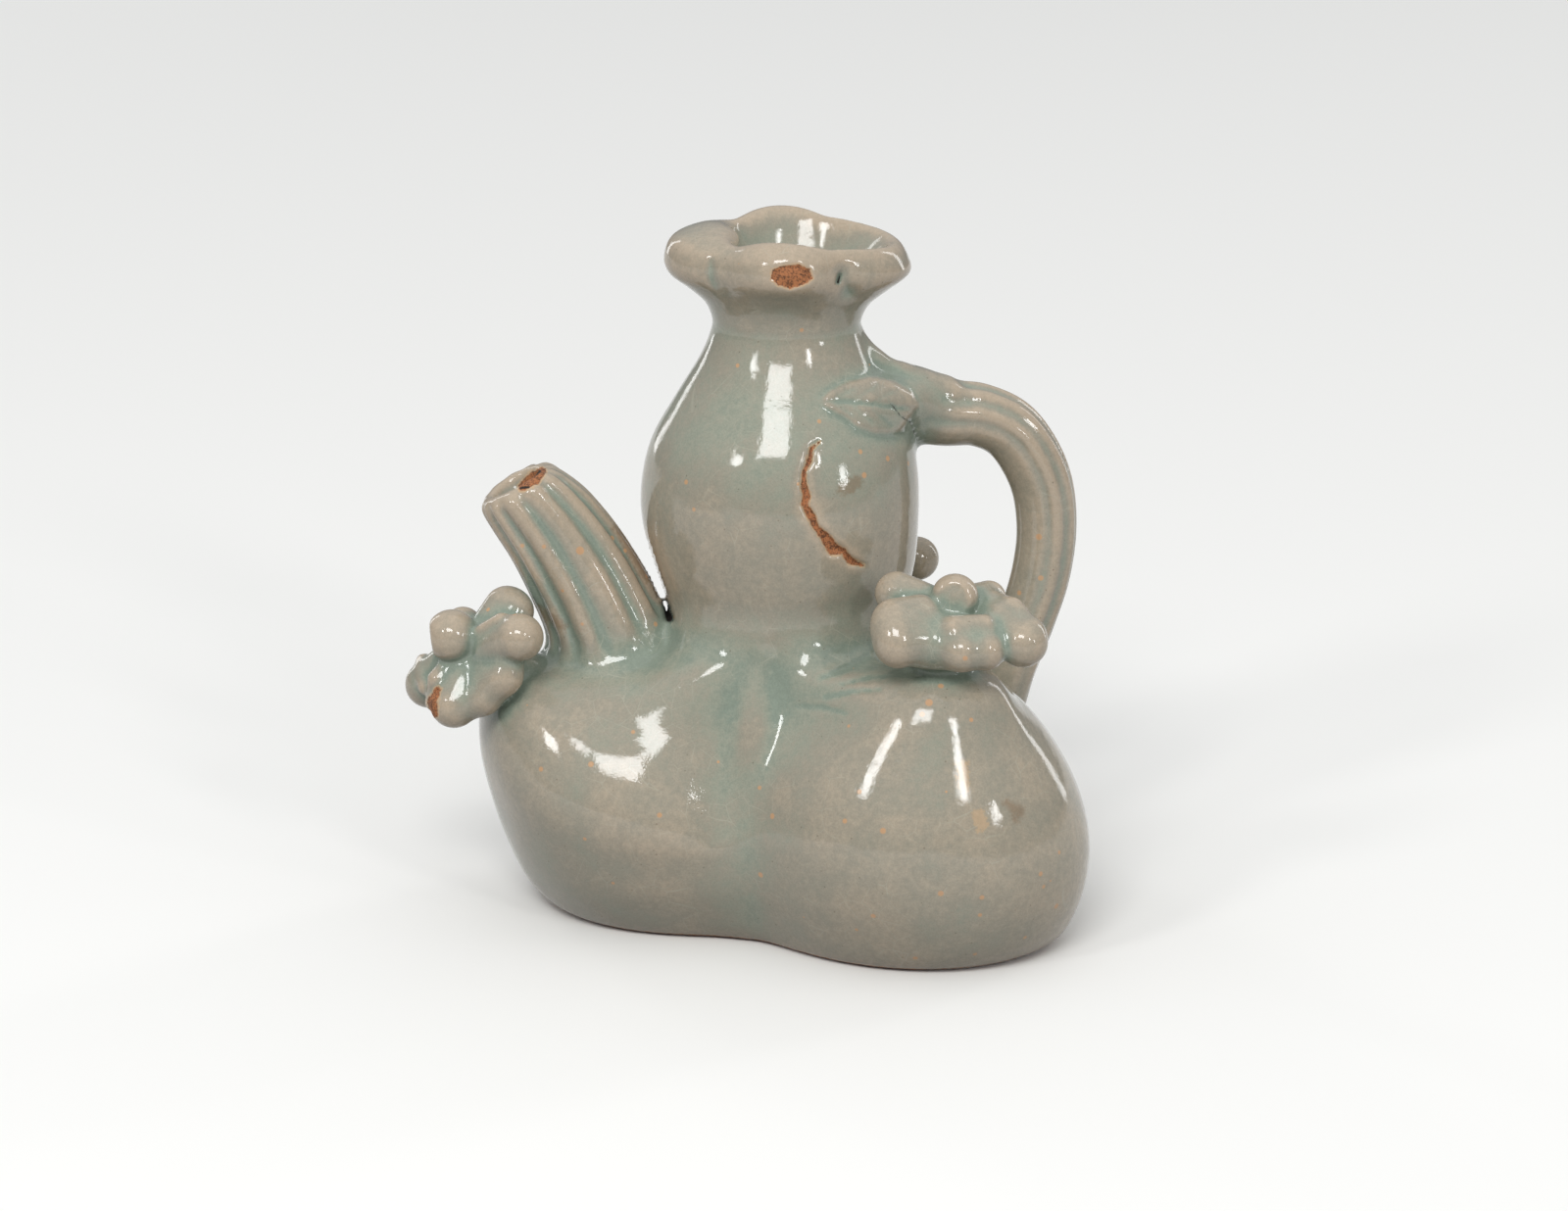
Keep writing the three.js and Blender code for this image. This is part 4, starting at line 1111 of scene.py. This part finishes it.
def glaze_material(name, lean):
    material = bpy.data.materials.new(name)
    n = Nodes(material)
    place = n.vector("SCALE", {0: n.add("TexCoord")["Object"], 3: 1 / MM})[0]
    height = n.add("SeparateXYZ", {0: place})[2]
    patch = n.noise(place, 0.17, 4, 0.6)
    grain = n.noise(place, 1.1, 4, 0.75)
    fine = n.noise(place, 4.5, 2, 0.6)
    ragged = n.times(n.noise(place, 1.6, 5, 0.75), 2.4, -1.2)
    colour = glaze_tone(n, place, height, patch, grain, lean)
    shade = n.times(n.span(fine, 0.25, 0.75, 0.93, 1.06), n.span(grain, 0.3, 0.7, 0.95, 1.04))
    colour = n.vector("SCALE", {0: colour, 3: shade})[0]
    colour = worn(n, specked(n, colour, place, patch), place, ragged)
    # Clay shows in the bare marks and at the foot, with a paler rim of glaze round it
    foot = n.times(ragged, 0.5, n.math("SUBTRACT", height, 0.5))
    gap = n.math("MINIMUM", n.times(ragged, 0.35, n.attribute("bare")), foot)
    bare = n.span(gap, -0.05, 0.06, 1, 0)
    rim = n.span(n.gap(gap, 0.08), 0, 0.22, 0.55, 0)
    clay = n.blend(n.span(n.math("ADD", grain, fine), 0.84, 1.1), BARE_DARK, BARE)
    colour = n.blend(bare, n.blend(rim, colour, RIM), clay)
    # Near black painted into the pits, the crater and the crack as painted shade, with a rougher surface
    # there
    dark = n.span(n.times(ragged, 0.2, n.attribute("dark")), -0.05, 0.1, 1, 0)
    roughness = n.span(n.math("MAXIMUM", bare, dark), 0, 1, 0.055, 0.75)
    # Orange peel of the glaze, and a rough body where it is bare
    pitting = n.times(n.noise(place, 3.5, 2, 0.5), 0.12)
    peel = n.times(n.noise(place, 0.5, 1, 0.5), 0.5, pitting)
    peel = n.times(bare, n.times(fine, 0.5, -0.9), peel)
    bump = n.add("Bump", {"Strength": 0.5, "Distance": 0.16 * MM, "Height": peel})[0]
    # Painted shade in the pits and cracks
    colour = n.blend(dark, colour, PAINTED_SHADE)
    look = {"Base Color": colour, "Roughness": roughness, "IOR": GLAZE_IOR, "Normal": bump}
    n.add("OutputMaterial", {"Surface": n.add("BsdfPrincipled", look)[0]})
    return material


def floor_material(name, seen, bounced):
    """Paper that looks paler, also in reflections, than it is in the light that it gives."""
    material = bpy.data.materials.new(name)
    n = Nodes(material)
    path = n.add("LightPath")
    direct = n.math("MAXIMUM", path["Is Camera Ray"],
                    n.math("MAXIMUM", path["Is Glossy Ray"], path["Is Transmission Ray"]))
    look = {"Base Color": n.blend(direct, bounced, seen), "Roughness": 0.9}
    n.add("OutputMaterial", {"Surface": n.add("BsdfPrincipled", look)[0]})
    return material


# Petals are all ridge, so their glaze leans back towards the body's
glaze = glaze_material("celadon_glaze", 0.0)
petal_glaze = glaze_material("celadon_glaze_petals", 0.26)
for name, obj in pieces.items():
    obj.data.materials.clear()
    obj.data.materials.append(petal_glaze if name.endswith("_flower") else glaze)


# Camera

camera = link_object("camera", bpy.data.cameras.new("camera"))
camera.data.sensor_width = SENSOR
camera.data.lens = LENS
camera.location = Vector(EYE) * MM
camera.rotation_euler = Vector(-BACK).to_track_quat("-Z", "Y").to_euler()
bpy.context.scene.camera = camera


# Floor, lamps and world

FLOOR_REACH = 900
corners = box((-FLOOR_REACH, -FLOOR_REACH), (FLOOR_REACH, FLOOR_REACH))
floor = mesh_object("floor", [(x, y, 0) for x, y in corners], [(0, 1, 2, 3)])
floor.data.materials.append(floor_material("floor_paper", tone(248, 247, 244), tone(138, 137, 134)))

LAMP_DISTANCE = 1300
LAMP_TARGET = Vector((0, 0, 40))


def lamp(name, azimuth, elevation, wide, tall, light):
    """Soft box seen from the object: direction and size in degrees, and light on a facing sheet."""
    toward = Vector(direction(azimuth, elevation))
    data = bpy.data.lights.new(name, "AREA")
    data.shape = "RECTANGLE"
    data.size, data.size_y = (2 * LAMP_DISTANCE * math.tan(side * DEG / 2) * MM for side in (wide, tall))
    data.energy = light * math.pi * (LAMP_DISTANCE * MM) ** 2
    obj = link_object(name, data)
    obj.location = (LAMP_TARGET + toward * LAMP_DISTANCE) * MM
    obj.rotation_euler = toward.to_track_quat("Z", "Y").to_euler()


lamp("key", -106, 42, 24, 14, 1.3)
lamp("left", -140, 31, 8, 10, 0.4)
lamp("right", -63, 27, 6, 10, 0.35)
lamp("side", -42, 13, 5, 8, 0.2)
lamp("rim_left", 122, 8, 7, 50, 0.36)
lamp("rim_right", 32, 12, 7, 46, 0.4)

# The room is brighter overhead
world = bpy.data.worlds.new("room")
n = Nodes(world)
rise = n.add("SeparateXYZ", {0: n.add("TexCoord")["Generated"]})[2]
strength = n.add("MapRange", enumerate((rise, 0.0, 0.9, 0.24, 0.75)))[0]
n.add("OutputWorld", {"Surface": n.add("Background", {0: (0.96, 0.98, 1, 1), 1: strength})[0]})
bpy.context.scene.world = world
bpy.context.scene.view_settings.view_transform = "Standard"
